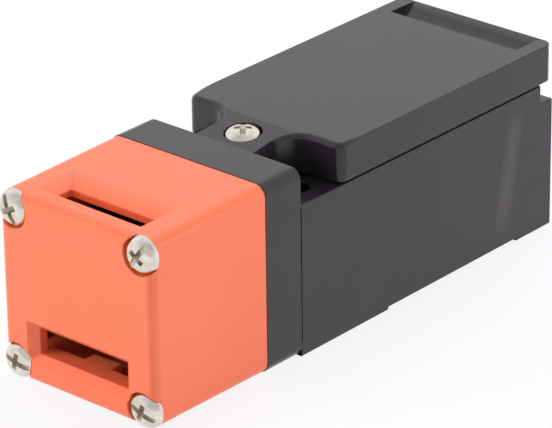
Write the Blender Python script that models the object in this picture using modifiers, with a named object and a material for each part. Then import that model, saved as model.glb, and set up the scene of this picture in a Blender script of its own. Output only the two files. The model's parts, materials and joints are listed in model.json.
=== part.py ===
"""Key-operated safety interlock switch.

An orange head with two funnelled key slots is screwed to the collar of a black body. A key pushed into
either slot turns a cam, and the cam lets a spring push the plunger and the contact carriage forward.
A terminal cover closes the top of the body. X runs across, Y from the head to the cable entry, Z up.
Distances along the switch are measured from the front face of the head.
"""
import math

import bmesh
import bpy
from mathutils import Vector

MM = 0.001
GAP = 0.3 * MM                     # clearance between pieces that touch on the real switch
EPS = 1.0 * MM                     # how far a cutter passes a face that it opens

# Overall section, and lengths from the front to the rear
WIDTH = 30.0 * MM
SECTION_BOTTOM = 0.1 * MM          # head and collar stand this far above the feet
SECTION_HEIGHT = 30.2 * MM
HEAD_LENGTH = 23.7 * MM
COLLAR_LENGTH = 7.7 * MM
LEDGE_LENGTH = 57.0 * MM
STEP_LENGTH = 3.0 * MM
LEDGE_DROP = 5.85 * MM             # top of the section to the ledge that the cover lies on
STEP_DROP = 3.05 * MM              # ledge to the rear step
CORNER_RADIUS = 1.8 * MM           # long edges of head and collar
FRONT_RADIUS = 1.4 * MM            # edges round the head's front face
EDGE_RADIUS = 0.3 * MM             # long edges of the body behind the collar
BODY_INSET = 0.05 * MM             # the sides of the body lie this far inside the collar's

# Feet under the body
FOOT_HEIGHT = 0.45 * MM
FRONT_FOOT_LENGTH = 20.1 * MM
REAR_FOOT_LENGTH = 8.7 * MM

# Head shell
HEAD_INSET = 0.1 * MM              # the head's rear edge lies inside the collar's outline
HEAD_DRAFT_SIDE = 0.1 * MM
HEAD_DRAFT_TOP = 0.35 * MM
HEAD_DRAFT_BOTTOM = 0.2 * MM
HEAD_FRONT_WALL = 2.8 * MM
HEAD_SIDE_WALL = 2.4 * MM
HEAD_TOP_WALL = 2.4 * MM
POST_SIZE = 6.1 * MM               # height of the solid corners that hold the head screws

# Key slots and their funnels
SLOT_HEIGHT = 4.2 * MM
FRONT_SLOT_HALF = 8.65 * MM
FRONT_SLOT_Z = 7.0 * MM
FRONT_FUNNEL_DEPTH = 1.25 * MM
FRONT_BEVEL_SIDE = 1.45 * MM
FRONT_BEVEL_LOW = 1.4 * MM
FRONT_BEVEL_HIGH = 1.2 * MM
TOP_SLOT_HALF = 8.1 * MM
TOP_SLOT_Y = 6.1 * MM              # behind the head's front face
TOP_FUNNEL_DEPTH = 1.25 * MM
TOP_BEVEL_SIDE = 2.0 * MM
TOP_BEVEL_FRONT = 0.5 * MM
TOP_BEVEL_BACK = 2.6 * MM
SILL_LENGTH = 1.3 * MM             # floor behind the front slot
TONGUE_LENGTH = 2.1 * MM
TONGUE_HALF = 2.65 * MM

# Screws that hold the head and the cover
SCREW_INSET_X = 2.6 * MM           # head screw axis to the outside of the section
SCREW_INSET_TOP = 3.1 * MM
SCREW_INSET_BOTTOM = 2.85 * MM
SCREW_HEAD_RADIUS = 2.6 * MM
SCREW_HEAD_HEIGHT = 1.9 * MM
SCREW_CROWN = 0.95 * MM            # height of the domed part of a screw head
SCREW_EDGE = 0.1 * MM
SCREW_SHANK_RADIUS = 1.5 * MM
SCREW_TURNS = [math.radians(d) for d in (20, 35, -65, -60)]     # how far each head screw was turned
COVER_SCREW_TURN = math.radians(41)
SCREW_PROUD = 0.9 * MM             # screw heads stand this far out of the head and the cover
POCKET_RADIUS = 2.95 * MM
COVER_SCREW_LENGTH = 8.8 * MM
RECESS_SPAN = 3.3 * MM
RECESS_WIDTH = 0.75 * MM
RECESS_DEPTH = 1.3 * MM
DRIVE_WIDTH = 0.7 * MM             # the slot across the whole head, for a flat blade
DRIVE_DEPTH = 0.6 * MM

# Cam, axle and carrier
PLUNGER_TRAVEL = 3.5 * MM
CAM_SWING = math.radians(70)
CAM_END_RADIUS = 3.1 * MM          # cam radius under the plunger with the key fully in
CAM_HALF = 2.3 * MM
AXLE_RADIUS = 1.25 * MM
CARRIER_PLATE = 1.8 * MM
CHEEK_THICKNESS = 2.4 * MM
NOTCH_FLANK = 3.0 * MM             # key flanks of the rotor, from its axis
NOTCH_CLEARANCE = 0.25 * MM

# Plunger and seals
PLUNGER_RADIUS = 2.0 * MM
TIP_RADIUS = 1.0 * MM
PLUNGER_CONE = 2.2 * MM            # from the tip to the full radius
SEAL_RADIUS = 3.9 * MM
SEAL_THICKNESS = 1.2 * MM
SEAL_LIP = 0.6 * MM
RING_RADIUS = 6.6 * MM
RING_SECTION = 0.6 * MM

# Body behind the collar
BOSS_WALL = 2.2 * MM               # the cover's shoulder to the contact space
SIDE_WALL = 2.6 * MM
FLOOR = 2.55 * MM
REAR_WALL = 4.9 * MM
REBATE = 1.0 * MM
MOUNT_HOLE_RADIUS = 2.15 * MM
MOUNT_HOLE_PITCH = 20.0 * MM
FIXING_Y = 4.5 * MM                # mounting holes and cover screw, behind the collar
PORT_WALL_LOW = 1.8 * MM           # left of the rear face below and above the cable port
PORT_WALL_HIGH = 1.2 * MM

# Terminal cover
COVER_HEIGHT = 6.1 * MM
COVER_EDGE = 0.9 * MM
COVER_CORNER = 1.5 * MM
COVER_OVERHANG = 2.7 * MM          # past the end of the ledge
COVER_SKIN = 2.2 * MM
TONGUE_DROP = 0.9 * MM             # the tongue's top falls this far towards the collar
NOTCH_RADIUS = 4.4 * MM            # notches round the mounting screws
SCOOP_HALF = 12.4 * MM
SCOOP_LENGTH = 6.0 * MM
SCOOP_DEPTH = 1.7 * MM
SCOOP_DRAFT = 0.2 * MM
LIP = 0.35 * MM                    # what is left of the cover behind the scoop

# Contacts
BLADE = 0.7 * MM                   # thickness of the terminal strips
BRIDGE = 0.6 * MM
RIVET = 0.4 * MM
RIVET_RADIUS = 1.1 * MM
BRIDGE_HEIGHT = 3.6 * MM
CARRIAGE_HALF = 3.2 * MM
CARRIAGE_HEIGHT = 7.6 * MM
CARRIAGE_WALL = 1.5 * MM
WEB = 2.0 * MM
CONTACT_SPRING_LENGTH = 2.1 * MM
CONTACT_SPRING_RADIUS = 1.1 * MM
CONTACT_WIRE = 0.2 * MM
RETURN_SPRING_LENGTH = 4.7 * MM
RETURN_SPRING_RADIUS = 2.0 * MM
RETURN_WIRE = 0.25 * MM
PIN_RADIUS = 1.0 * MM
SPRING_POST = 2.0 * MM
RIB = 2.0 * MM
STRIP_WIDTH = 1.2 * MM
UPRIGHT_HALF = 1.5 * MM
PAD_HALF = 2.5 * MM
TERMINAL_PITCH = 6.4 * MM
CABLE_SPACE = 5.0 * MM
CLAMP_THICKNESS = 0.6 * MM
TERMINAL_SHANK_RADIUS = 1.25 * MM
TERMINAL_HEAD_RADIUS = 2.2 * MM
TERMINAL_HEAD_HEIGHT = 1.5 * MM
TERMINAL_CROWN = 0.5 * MM
TERMINAL_EDGE = 2.0 * MM           # pad of an outer terminal to the rear of the contact base
TERMINAL_SCREW_REACH = 5.0 * MM

# Stations along Y, with the whole switch centred on the origin
HALF = WIDTH / 2
TOTAL = HEAD_LENGTH + GAP + COLLAR_LENGTH + LEDGE_LENGTH + STEP_LENGTH
HEAD_FRONT = (SCREW_PROUD - TOTAL) / 2
HEAD_REAR = HEAD_FRONT + HEAD_LENGTH
COLLAR_FRONT = HEAD_REAR + GAP
COLLAR_REAR = COLLAR_FRONT + COLLAR_LENGTH
LEDGE_END = COLLAR_REAR + LEDGE_LENGTH
BODY_REAR = LEDGE_END + STEP_LENGTH
SECTION_TOP = SECTION_BOTTOM + SECTION_HEIGHT
AXIS_Z = SECTION_BOTTOM + SECTION_HEIGHT / 2
LEDGE_TOP = SECTION_TOP - LEDGE_DROP
STEP_TOP = LEDGE_TOP - STEP_DROP
COVER_TOP = LEDGE_TOP + GAP + COVER_HEIGHT
FIXING = COLLAR_REAR + FIXING_Y
SHOULDER = FIXING + NOTCH_RADIUS
SPACE_FRONT = SHOULDER + BOSS_WALL
SPACE_REAR = LEDGE_END - REAR_WALL
SPACE_HALF = HALF - SIDE_WALL
SPACE_FLOOR = FOOT_HEIGHT + FLOOR
TONGUE_TOP = COVER_TOP - TONGUE_DROP * NOTCH_RADIUS / (SHOULDER - COLLAR_REAR)   # at the cover screw
COVER_SCREW_SEAT = TONGUE_TOP + SCREW_PROUD - SCREW_HEAD_HEIGHT
PORT_RADIUS = (STEP_TOP - PORT_WALL_LOW - PORT_WALL_HIGH) / 2
PORT_Z = PORT_WALL_LOW + PORT_RADIUS

# Head interior
HEAD_SPACE_HALF = HALF - HEAD_SIDE_WALL
HEAD_SPACE_LOW = SECTION_BOTTOM + HEAD_TOP_WALL
HEAD_SPACE_HIGH = SECTION_TOP - HEAD_TOP_WALL
HEAD_SPACE_FRONT = HEAD_FRONT + HEAD_FRONT_WALL
PLATE_REAR = HEAD_REAR - GAP
PLATE_FRONT = PLATE_REAR - CARRIER_PLATE
ROTOR_RADIUS = (PLATE_FRONT - HEAD_SPACE_FRONT - 5 * GAP) / 2
CAM_Y = PLATE_FRONT - GAP - ROTOR_RADIUS
CHEEK_OUTER = HEAD_SPACE_HALF - 2 * GAP
CHEEK_INNER = CHEEK_OUTER - CHEEK_THICKNESS
ROTOR_HALF = CHEEK_INNER - 2 * GAP
CARRIER_HALF_HEIGHT = SECTION_HEIGHT / 2 - POST_SIZE - 2 * GAP
CAM_REST_RADIUS = CAM_END_RADIUS + PLUNGER_TRAVEL
PLUNGER_TIP = CAM_Y + CAM_REST_RADIUS + GAP

# Contact stations, from the front of the contact space
FRONT_UPRIGHT = SPACE_FRONT + 2 * GAP
BRIDGE_1_FRONT = FRONT_UPRIGHT + BLADE + RIVET + GAP + PLUNGER_TRAVEL + RIVET
WINDOW_1_FRONT = BRIDGE_1_FRONT - GAP
WINDOW_1_REAR = BRIDGE_1_FRONT + BRIDGE + CONTACT_SPRING_LENGTH + 2 * GAP
WINDOW_2_FRONT = WINDOW_1_REAR + WEB
BRIDGE_2_FRONT = WINDOW_2_FRONT + CONTACT_SPRING_LENGTH + 2 * GAP
WINDOW_2_REAR = BRIDGE_2_FRONT + BRIDGE + GAP
REAR_UPRIGHT = BRIDGE_2_FRONT + BRIDGE + 2 * RIVET + GAP
CARRIAGE_FRONT = WINDOW_1_FRONT - CARRIAGE_WALL
CARRIAGE_REAR = WINDOW_2_REAR + CARRIAGE_WALL
SPRING_POST_FRONT = CARRIAGE_REAR + RETURN_SPRING_LENGTH + 2 * GAP
PIN_END = SPRING_POST_FRONT + SPRING_POST + PLUNGER_TRAVEL
BASE_REAR = SPACE_REAR - CABLE_SPACE
OUTER_SCREW_Y = BASE_REAR - PAD_HALF - TERMINAL_EDGE
INNER_SCREW_Y = OUTER_SCREW_Y - TERMINAL_PITCH
STRIP_OUTER = SPACE_HALF - 2 * GAP
STRIP_INNER = STRIP_OUTER - STRIP_WIDTH
INNER_PLATE_OUTER = STRIP_INNER - 2 * GAP
CONTACT_X = INNER_PLATE_OUTER - UPRIGHT_HALF - 2 * GAP
BASE_TOP = AXIS_Z - CARRIAGE_HEIGHT / 2 - 2 * GAP
BLADE_LOW = BASE_TOP + GAP
BLADE_TOP = BLADE_LOW + BLADE

PARTS = None
CUTTERS = None


def start_scene():
    """Empty the scene and make one collection for the parts and one for the cutters."""
    global PARTS, CUTTERS
    for obj in list(bpy.data.objects):
        bpy.data.objects.remove(obj, do_unlink=True)
    PARTS = bpy.data.collections.new("safety_interlock_switch")
    CUTTERS = bpy.data.collections.new("cutters")
    for group in (PARTS, CUTTERS):
        bpy.context.scene.collection.children.link(group)


def place(name, data, centre, cutter=False):
    """Make an object at a place, as a part or as a hidden cutter."""
    obj = bpy.data.objects.new(name, data)
    obj.location = centre
    (CUTTERS if cutter else PARTS).objects.link(obj)
    if cutter:
        obj.hide_render = True
        obj.display_type = "WIRE"
    return obj


def mesh_from(name, bm):
    """Turn a bmesh into mesh data with outward faces."""
    bmesh.ops.recalc_face_normals(bm, faces=bm.faces)
    mesh = bpy.data.meshes.new(name)
    bm.to_mesh(mesh)
    bm.free()
    return mesh


def round_edges(bm, radius, segments, chosen):
    """Round the edges whose two ends both pass a test."""
    edges = [e for e in bm.edges if all(chosen(v.co) for v in e.verts)]
    bmesh.ops.bevel(bm, geom=edges, offset=radius, segments=segments, profile=0.5, affect="EDGES")


def flatten(bm):
    """Round the corners' places to a tenth of a micron, so that faces of two shapes meet in one plane."""
    for vert in bm.verts:
        vert.co = [round(c, 7) for c in vert.co]


def block(name, low, high, cutter=False):
    """A box between two corners."""
    low, high = Vector(low), Vector(high)
    bm = bmesh.new()
    bmesh.ops.create_cube(bm, size=1.0)
    bmesh.ops.scale(bm, vec=high - low, verts=bm.verts)
    return place(name, mesh_from(name, bm), (low + high) / 2, cutter)


def rod(name, centre, radius, length, axis, cutter=False, sides=32):
    """A cylinder about an axis, centred on a point."""
    bm = bmesh.new()
    bmesh.ops.create_cone(bm, cap_ends=True, segments=sides, radius1=radius, radius2=radius, depth=length)
    obj = place(name, mesh_from(name, bm), centre, cutter)
    obj.rotation_euler = {"X": (0, math.pi / 2, 0), "Y": (math.pi / 2, 0, 0), "Z": (0, 0, 0)}[axis]
    return obj


def prism_bmesh(outline, axis, low, high):
    """An outline extruded along an axis; its points are (Y, Z) for X, (X, Z) for Y and (X, Y) for Z."""
    order = {"X": lambda u, v, w: (w, u, v), "Y": lambda u, v, w: (u, w, v),
             "Z": lambda u, v, w: (u, v, w)}[axis]
    bm = bmesh.new()
    face = bm.faces.new([bm.verts.new(order(u, v, low)) for u, v in outline])
    top = bmesh.ops.extrude_face_region(bm, geom=[face])
    verts = [g for g in top["geom"] if isinstance(g, bmesh.types.BMVert)]
    bmesh.ops.translate(bm, verts=verts, vec=order(0, 0, high - low))
    bmesh.ops.recalc_face_normals(bm, faces=bm.faces)
    return bm


def prism(name, outline, axis, low, high, centre=(0, 0, 0), cutter=False):
    """A prism object placed at a point."""
    return place(name, mesh_from(name, prism_bmesh(outline, axis, low, high)), centre, cutter)


def turned(name, profile, centre, axis, sides=24, cutter=False):
    """A turned solid: (radius, height) points swept about the axis by a Screw modifier.

    A profile that ends where it starts makes a ring.
    """
    mesh = bpy.data.meshes.new(name)
    ring = profile[0] == profile[-1]
    points = [(r, 0, h) for r, h in (profile[:-1] if ring else profile)]
    edges = [(i, (i + 1) % len(points)) for i in range(len(profile) - 1)]
    mesh.from_pydata(points, edges, [])
    obj = place(name, mesh, centre, cutter)
    obj.rotation_euler = {"X": (0, math.pi / 2, 0), "Y": (-math.pi / 2, 0, 0), "Z": (0, 0, 0)}[axis]
    sweep = obj.modifiers.new("sweep", "SCREW")
    sweep.angle = math.tau
    sweep.steps = sides
    sweep.render_steps = sides
    sweep.use_merge_vertices = True
    sweep.merge_threshold = 0.01 * MM
    pairs = zip(profile, profile[1:])
    sweep.use_normal_flip = sum(r0 * h1 - r1 * h0 for (r0, h0), (r1, h1) in pairs) > 0
    return obj


def coil(name, centre, radius, wire, length, turns, points_per_turn):
    """A round-wire spring along Y, between its two ends."""
    count = round(turns * points_per_turn)
    curve = bpy.data.curves.new(name, "CURVE")
    curve.dimensions = "3D"
    curve.bevel_depth = wire
    curve.bevel_resolution = 2
    curve.use_fill_caps = True
    spline = curve.splines.new("POLY")
    spline.points.add(count)
    run = length - 2 * wire
    for i, point in enumerate(spline.points):
        angle = math.tau * i / points_per_turn
        point.co = (radius * math.cos(angle), run * (i / count - 0.5), radius * math.sin(angle), 1)
    return place(name, curve, centre)


def combine(target, operation, *others):
    """Cut other objects from a target, or add them to it, with exact Booleans."""
    for other in others:
        step = target.modifiers.new(other.name, "BOOLEAN")
        step.operation = operation
        step.solver = "EXACT"
        step.object = other
    return target


def cut(target, *others):
    return combine(target, "DIFFERENCE", *others)


def add(target, *others):
    return combine(target, "UNION", *others)


def paint(objects, name, colour, roughness, metallic=0.0):
    """Give each object its own Principled material, from an sRGB colour of 0 to 255."""
    linear = [((c / 255 + 0.055) / 1.055) ** 2.4 if c > 10 else c / 255 / 12.92 for c in colour]
    for obj in objects:
        material = bpy.data.materials.new(f"{name}_{obj.name}")
        material.use_nodes = True
        shader = material.node_tree.nodes["Principled BSDF"]
        shader.inputs["Base Color"].default_value = (*linear, 1)
        shader.inputs["Roughness"].default_value = roughness
        shader.inputs["Metallic"].default_value = metallic
        obj.data.materials.append(material)


def arc(centre, radius, first, last, steps):
    """Points on an arc between two angles in degrees."""
    angles = [math.radians(first + (last - first) * i / steps) for i in range(steps + 1)]
    return [(centre[0] + radius * math.cos(a), centre[1] + radius * math.sin(a)) for a in angles]


def mirrored(half_outline):
    """A closed outline from its right half, whose ends lie on X = 0."""
    inner = [p for p in reversed(half_outline) if p[0] > 0.001 * MM]
    return half_outline + [(-x, y) for x, y in inner]


def tapered_cutter(name, inner_low, inner_high, outer_low, outer_high, axis, inner, outer):
    """A funnel cutter: a box whose outer face is larger than its inner face."""
    bm = bmesh.new()
    bmesh.ops.create_cube(bm, size=2.0)
    for vert in bm.verts:
        side = vert.co[axis] > 0
        low, high = (outer_low, outer_high) if side else (inner_low, inner_high)
        across = [i for i in range(3) if i != axis]
        for k, i in enumerate(across):
            vert.co[i] = high[k] if vert.co[i] > 0 else low[k]
        vert.co[axis] = outer if side else inner
    return place(name, mesh_from(name, bm), (0, 0, 0), cutter=True)


def screw_corners():
    """X and Z of the four head screws."""
    reach_x = HALF - SCREW_INSET_X
    heights = (SECTION_TOP - SCREW_INSET_TOP, SECTION_BOTTOM + SCREW_INSET_BOTTOM)
    return [(side * reach_x, z) for z in heights for side in (-1, 1)]


def head_shell():
    """The drafted outside of the head, with rounded long and front edges."""
    low = (-HALF + HEAD_INSET, HEAD_FRONT, SECTION_BOTTOM + HEAD_INSET)
    high = (HALF - HEAD_INSET, HEAD_REAR, SECTION_TOP - HEAD_INSET)
    bm = bmesh.new()
    bmesh.ops.create_cube(bm, size=2.0)
    for vert in bm.verts:
        front = vert.co.y < 0
        for i in range(3):
            vert.co[i] = high[i] if vert.co[i] > 0 else low[i]
        if front:
            vert.co.x -= math.copysign(HEAD_DRAFT_SIDE, vert.co.x)
            vert.co.z += HEAD_DRAFT_BOTTOM if vert.co.z < AXIS_Z else -HEAD_DRAFT_TOP
    long_edges = [e for e in bm.edges if abs(e.verts[0].co.y - e.verts[1].co.y) > EPS]
    bmesh.ops.bevel(bm, geom=long_edges, offset=CORNER_RADIUS, segments=5, profile=0.5, affect="EDGES")
    round_edges(bm, FRONT_RADIUS, 4, lambda co: co.y < HEAD_FRONT + EPS)
    return place("head_housing", mesh_from("head_housing", bm), (0, 0, 0))


def front_slot_cutters():
    """Funnel and throat of the slot in the front face."""
    low, high = FRONT_SLOT_Z - SLOT_HEIGHT / 2, FRONT_SLOT_Z + SLOT_HEIGHT / 2
    spread = 1 + EPS / FRONT_FUNNEL_DEPTH
    inner = HEAD_FRONT + FRONT_FUNNEL_DEPTH
    side = FRONT_SLOT_HALF + FRONT_BEVEL_SIDE * spread
    funnel = tapered_cutter("front_funnel", (-FRONT_SLOT_HALF, low), (FRONT_SLOT_HALF, high),
                            (-side, low - FRONT_BEVEL_LOW * spread), (side, high + FRONT_BEVEL_HIGH * spread),
                            1, inner, HEAD_FRONT - EPS)
    throat = block("front_throat", (-FRONT_SLOT_HALF, HEAD_FRONT, low),
                   (FRONT_SLOT_HALF, HEAD_SPACE_FRONT + SILL_LENGTH + TONGUE_LENGTH + EPS, high), cutter=True)
    return funnel, throat


def top_slot_cutters():
    """Funnel and throat of the slot in the top face."""
    middle = HEAD_FRONT + TOP_SLOT_Y
    front, back = middle - SLOT_HEIGHT / 2, middle + SLOT_HEIGHT / 2
    top = SECTION_TOP - HEAD_INSET - HEAD_DRAFT_TOP * (1 - TOP_SLOT_Y / HEAD_LENGTH)
    spread = 1 + EPS / TOP_FUNNEL_DEPTH
    side = TOP_SLOT_HALF + TOP_BEVEL_SIDE * spread
    funnel = tapered_cutter("top_funnel", (-TOP_SLOT_HALF, front), (TOP_SLOT_HALF, back),
                            (-side, front - TOP_BEVEL_FRONT * spread), (side, back + TOP_BEVEL_BACK * spread),
                            2, top - TOP_FUNNEL_DEPTH, top + EPS)
    throat = block("top_throat", (-TOP_SLOT_HALF, front, HEAD_SPACE_HIGH - EPS),
                   (TOP_SLOT_HALF, back, SECTION_TOP), cutter=True)
    return funnel, throat


def build_head():
    """Head moulding: shell, sill and tongue behind the front slot, two slots and four screw pockets."""
    head = head_shell()
    rear = HEAD_REAR + EPS
    centre_half = FRONT_SLOT_HALF + 2 * GAP
    cut(head,
        block("head_space_middle", (-centre_half, HEAD_SPACE_FRONT, HEAD_SPACE_LOW),
              (centre_half, rear, HEAD_SPACE_HIGH), cutter=True),
        block("head_space_sides", (-HEAD_SPACE_HALF, HEAD_SPACE_FRONT, SECTION_BOTTOM + POST_SIZE),
              (HEAD_SPACE_HALF, rear, SECTION_TOP - POST_SIZE), cutter=True))
    sill_rear = HEAD_SPACE_FRONT + SILL_LENGTH
    sill_top = FRONT_SLOT_Z - SLOT_HEIGHT / 2
    add(head,
        block("sill", (-centre_half - EPS, HEAD_SPACE_FRONT - EPS, HEAD_SPACE_LOW - EPS),
              (centre_half + EPS, sill_rear, sill_top), cutter=True),
        block("sill_tongue", (-TONGUE_HALF, HEAD_SPACE_FRONT, HEAD_SPACE_LOW - EPS),
              (TONGUE_HALF, sill_rear + TONGUE_LENGTH, sill_top), cutter=True))
    cut(head, *front_slot_cutters(), *top_slot_cutters())
    seat = HEAD_FRONT + SCREW_HEAD_HEIGHT - SCREW_PROUD + GAP
    for i, (x, z) in enumerate(screw_corners(), 1):
        pocket = rod(f"pocket_{i}", (x, seat - SCREW_HEAD_HEIGHT, z), POCKET_RADIUS, 2 * SCREW_HEAD_HEIGHT,
                     "Y", cutter=True, sides=40)
        hole = rod(f"screw_hole_{i}", (x, HEAD_FRONT + HEAD_LENGTH / 2, z), SCREW_SHANK_RADIUS + GAP,
                   HEAD_LENGTH + 2 * EPS, "Y", cutter=True, sides=20)
        cut(head, pocket, hole)
    return head


def pan_screw(name, centre, axis, shank_length, turn):
    """A pan-head screw whose seat is at the centre: a cross recess and a slot across the head, turned by
    an angle. Its head points along -Y or +Z.
    """
    up = -1 if axis == "Y" else 1
    rim = SCREW_HEAD_HEIGHT - SCREW_CROWN
    crown = [(SCREW_HEAD_RADIUS * math.cos(a), rim + SCREW_CROWN * math.sin(a))
             for a in (math.radians(d) for d in (0, 25, 50, 72))]
    shank, tip = SCREW_SHANK_RADIUS, SCREW_SHANK_RADIUS / 3
    profile = [(0, -shank_length), (shank - tip, -shank_length), (shank, tip - shank_length), (shank, 0),
               (SCREW_HEAD_RADIUS - SCREW_EDGE, 0)] + crown + [(0, SCREW_HEAD_HEIGHT)]
    screw = turned(name, [(r, up * h) for r, h in profile], centre, axis)
    span, width, reach, half = RECESS_SPAN / 2, RECESS_WIDTH / 2, SCREW_HEAD_RADIUS + EPS, DRIVE_WIDTH / 2
    cross = [(width, width), (width, span), (-width, span), (-width, width), (-span, width),
             (-span, -width), (-width, -width), (-width, -span), (width, -span), (width, -width),
             (span, -width), (span, width)]
    slot = [(half, -reach), (half, reach), (-half, reach), (-half, -reach)]
    cos, sin = math.cos(turn), math.sin(turn)
    for outline, depth, label in ((cross, RECESS_DEPTH, "recess"), (slot, DRIVE_DEPTH, "slot")):
        floor, top = sorted((up * (SCREW_HEAD_HEIGHT - depth), up * (SCREW_HEAD_HEIGHT + EPS)))
        points = [(x * cos - y * sin, x * sin + y * cos) for x, y in outline]
        cut(screw, prism(f"{name}_{label}", points, axis, floor, top, centre, cutter=True))
    return screw


def build_head_screws():
    """Four screws through the head into the collar."""
    seat = HEAD_FRONT + SCREW_HEAD_HEIGHT - SCREW_PROUD
    shank = COLLAR_REAR - EPS - seat
    return [pan_screw(f"head_screw_{i}", (x, seat, z), "Y", shank, turn)
            for i, ((x, z), turn) in enumerate(zip(screw_corners(), SCREW_TURNS), 1)]


def build_carrier():
    """Carrier slid into the head from the rear: a back plate and two cheeks that hold the axle."""
    low, high = AXIS_Z - CARRIER_HALF_HEIGHT, AXIS_Z + CARRIER_HALF_HEIGHT
    carrier = block("cam_carrier", (-CHEEK_OUTER, PLATE_FRONT, low), (CHEEK_OUTER, PLATE_REAR, high))
    front = HEAD_SPACE_FRONT + 2 * GAP
    for side, name in ((-1, "left"), (1, "right")):
        near, far = sorted((side * CHEEK_INNER, side * CHEEK_OUTER))
        add(carrier, block(f"cheek_{name}", (near, front, low), (far, PLATE_REAR - GAP, high), cutter=True))
    cut(carrier,
        rod("axle_holes", (0, CAM_Y, AXIS_Z), AXLE_RADIUS + GAP, WIDTH, "X", cutter=True, sides=20),
        rod("plunger_hole", (0, PLATE_REAR, AXIS_Z), PLUNGER_RADIUS + GAP, 3 * CARRIER_PLATE, "Y",
            cutter=True, sides=24))
    return carrier


def cam_outline():
    """Side view of the cam about its axis: a curve that keeps a round tip one gap away, closed by a heel.

    The tip's centre follows an Archimedean spiral; the cam is that spiral moved in by the tip and the gap.
    """
    reach = TIP_RADIUS + GAP
    slope = PLUNGER_TRAVEL / CAM_SWING
    points = []
    for i in range(25):
        swing = CAM_SWING * (i / 22 - 0.05)
        centre = CAM_REST_RADIUS + reach - slope * swing
        scale = reach / math.hypot(centre, slope)
        out, along = centre - centre * scale, slope * scale
        points.append((out * math.cos(swing) + along * math.sin(swing),
                       along * math.cos(swing) - out * math.sin(swing)))
    heel = [(CAM_END_RADIUS * math.cos(math.radians(a)), CAM_END_RADIUS * math.sin(math.radians(a)))
            for a in range(-120, -281, -20)]
    nose = [(CAM_REST_RADIUS * math.cos(math.radians(a)), CAM_REST_RADIUS * math.sin(math.radians(a)))
            for a in (30, 22)]
    return points + heel + nose


def build_rotor(axis_empty):
    """Rotor: cam plate between two drums, which are notched where each key pushes."""
    rotor = prism("cam_rotor", cam_outline(), "X", -CAM_HALF - GAP, CAM_HALF + GAP)
    for side, name in ((-1, "left"), (1, "right")):
        add(rotor, rod(f"drum_{name}", (side * (ROTOR_HALF + CAM_HALF) / 2, CAM_Y, AXIS_Z), ROTOR_RADIUS,
                       ROTOR_HALF - CAM_HALF, "X", cutter=True, sides=48))
    far = 2 * ROTOR_RADIUS
    front_notch = FRONT_SLOT_Z + SLOT_HEIGHT / 2 + NOTCH_CLEARANCE
    top_notch = HEAD_FRONT + TOP_SLOT_Y + SLOT_HEIGHT / 2 + NOTCH_CLEARANCE
    cut(rotor,
        block("front_notch", (-WIDTH, CAM_Y - far, AXIS_Z - far), (WIDTH, CAM_Y - NOTCH_FLANK, front_notch),
              cutter=True),
        block("top_notch", (-WIDTH, CAM_Y - far, AXIS_Z + NOTCH_FLANK), (WIDTH, top_notch, AXIS_Z + far),
              cutter=True),
        rod("rotor_bore", (0, CAM_Y, AXIS_Z), AXLE_RADIUS + GAP, WIDTH, "X", cutter=True, sides=20))
    rotor.parent = axis_empty
    return rotor


def build_axle():
    """Axle pin held by the two cheeks of the carrier."""
    return rod("cam_axle", (0, CAM_Y, AXIS_Z), AXLE_RADIUS, 2 * CHEEK_OUTER, "X", sides=20)


def build_plunger(slide_empty):
    """Plunger rod: a round tip that follows the cam and a straight shank to the carriage."""
    tip = [(TIP_RADIUS * math.sin(math.radians(d)), TIP_RADIUS * (1 - math.cos(math.radians(d))))
           for d in (0, 25, 50, 75)]
    length = CARRIAGE_FRONT - GAP - PLUNGER_TIP
    profile = tip + [(PLUNGER_RADIUS, PLUNGER_CONE), (PLUNGER_RADIUS, length), (0, length)]
    plunger = turned("plunger", profile, (0, 0, 0), "Y")
    plunger.parent = slide_empty
    return plunger


def build_seals():
    """Lip ring round the plunger and a round ring behind the head, both in the front of the collar."""
    inner = PLUNGER_RADIUS + GAP
    lip = turned("plunger_seal", [(inner, 0), (SEAL_RADIUS, 0), (SEAL_RADIUS, SEAL_THICKNESS),
                                  (inner + SEAL_LIP, SEAL_THICKNESS), (inner, SEAL_THICKNESS / 2),
                                  (inner, 0)], (0, COLLAR_FRONT + GAP, AXIS_Z), "Y")
    circle = [(RING_RADIUS + RING_SECTION * math.cos(math.tau * i / 10),
               RING_SECTION * math.sin(math.tau * i / 10)) for i in range(10)]
    ring = turned("head_seal", circle + circle[:1], (0, COLLAR_FRONT + RING_SECTION, AXIS_Z), "Y", sides=32)
    return [lip, ring]


def body_outline():
    """Side view of the body behind the collar: feet, rear step and ledge."""
    front = COLLAR_REAR
    middle_front = COLLAR_REAR + FRONT_FOOT_LENGTH
    middle_rear = BODY_REAR - REAR_FOOT_LENGTH
    return [(front, 0), (middle_front, 0), (middle_front, FOOT_HEIGHT), (middle_rear, FOOT_HEIGHT),
            (middle_rear, 0), (BODY_REAR, 0), (BODY_REAR, STEP_TOP), (LEDGE_END, STEP_TOP),
            (LEDGE_END, LEDGE_TOP), (front, LEDGE_TOP)]


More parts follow.
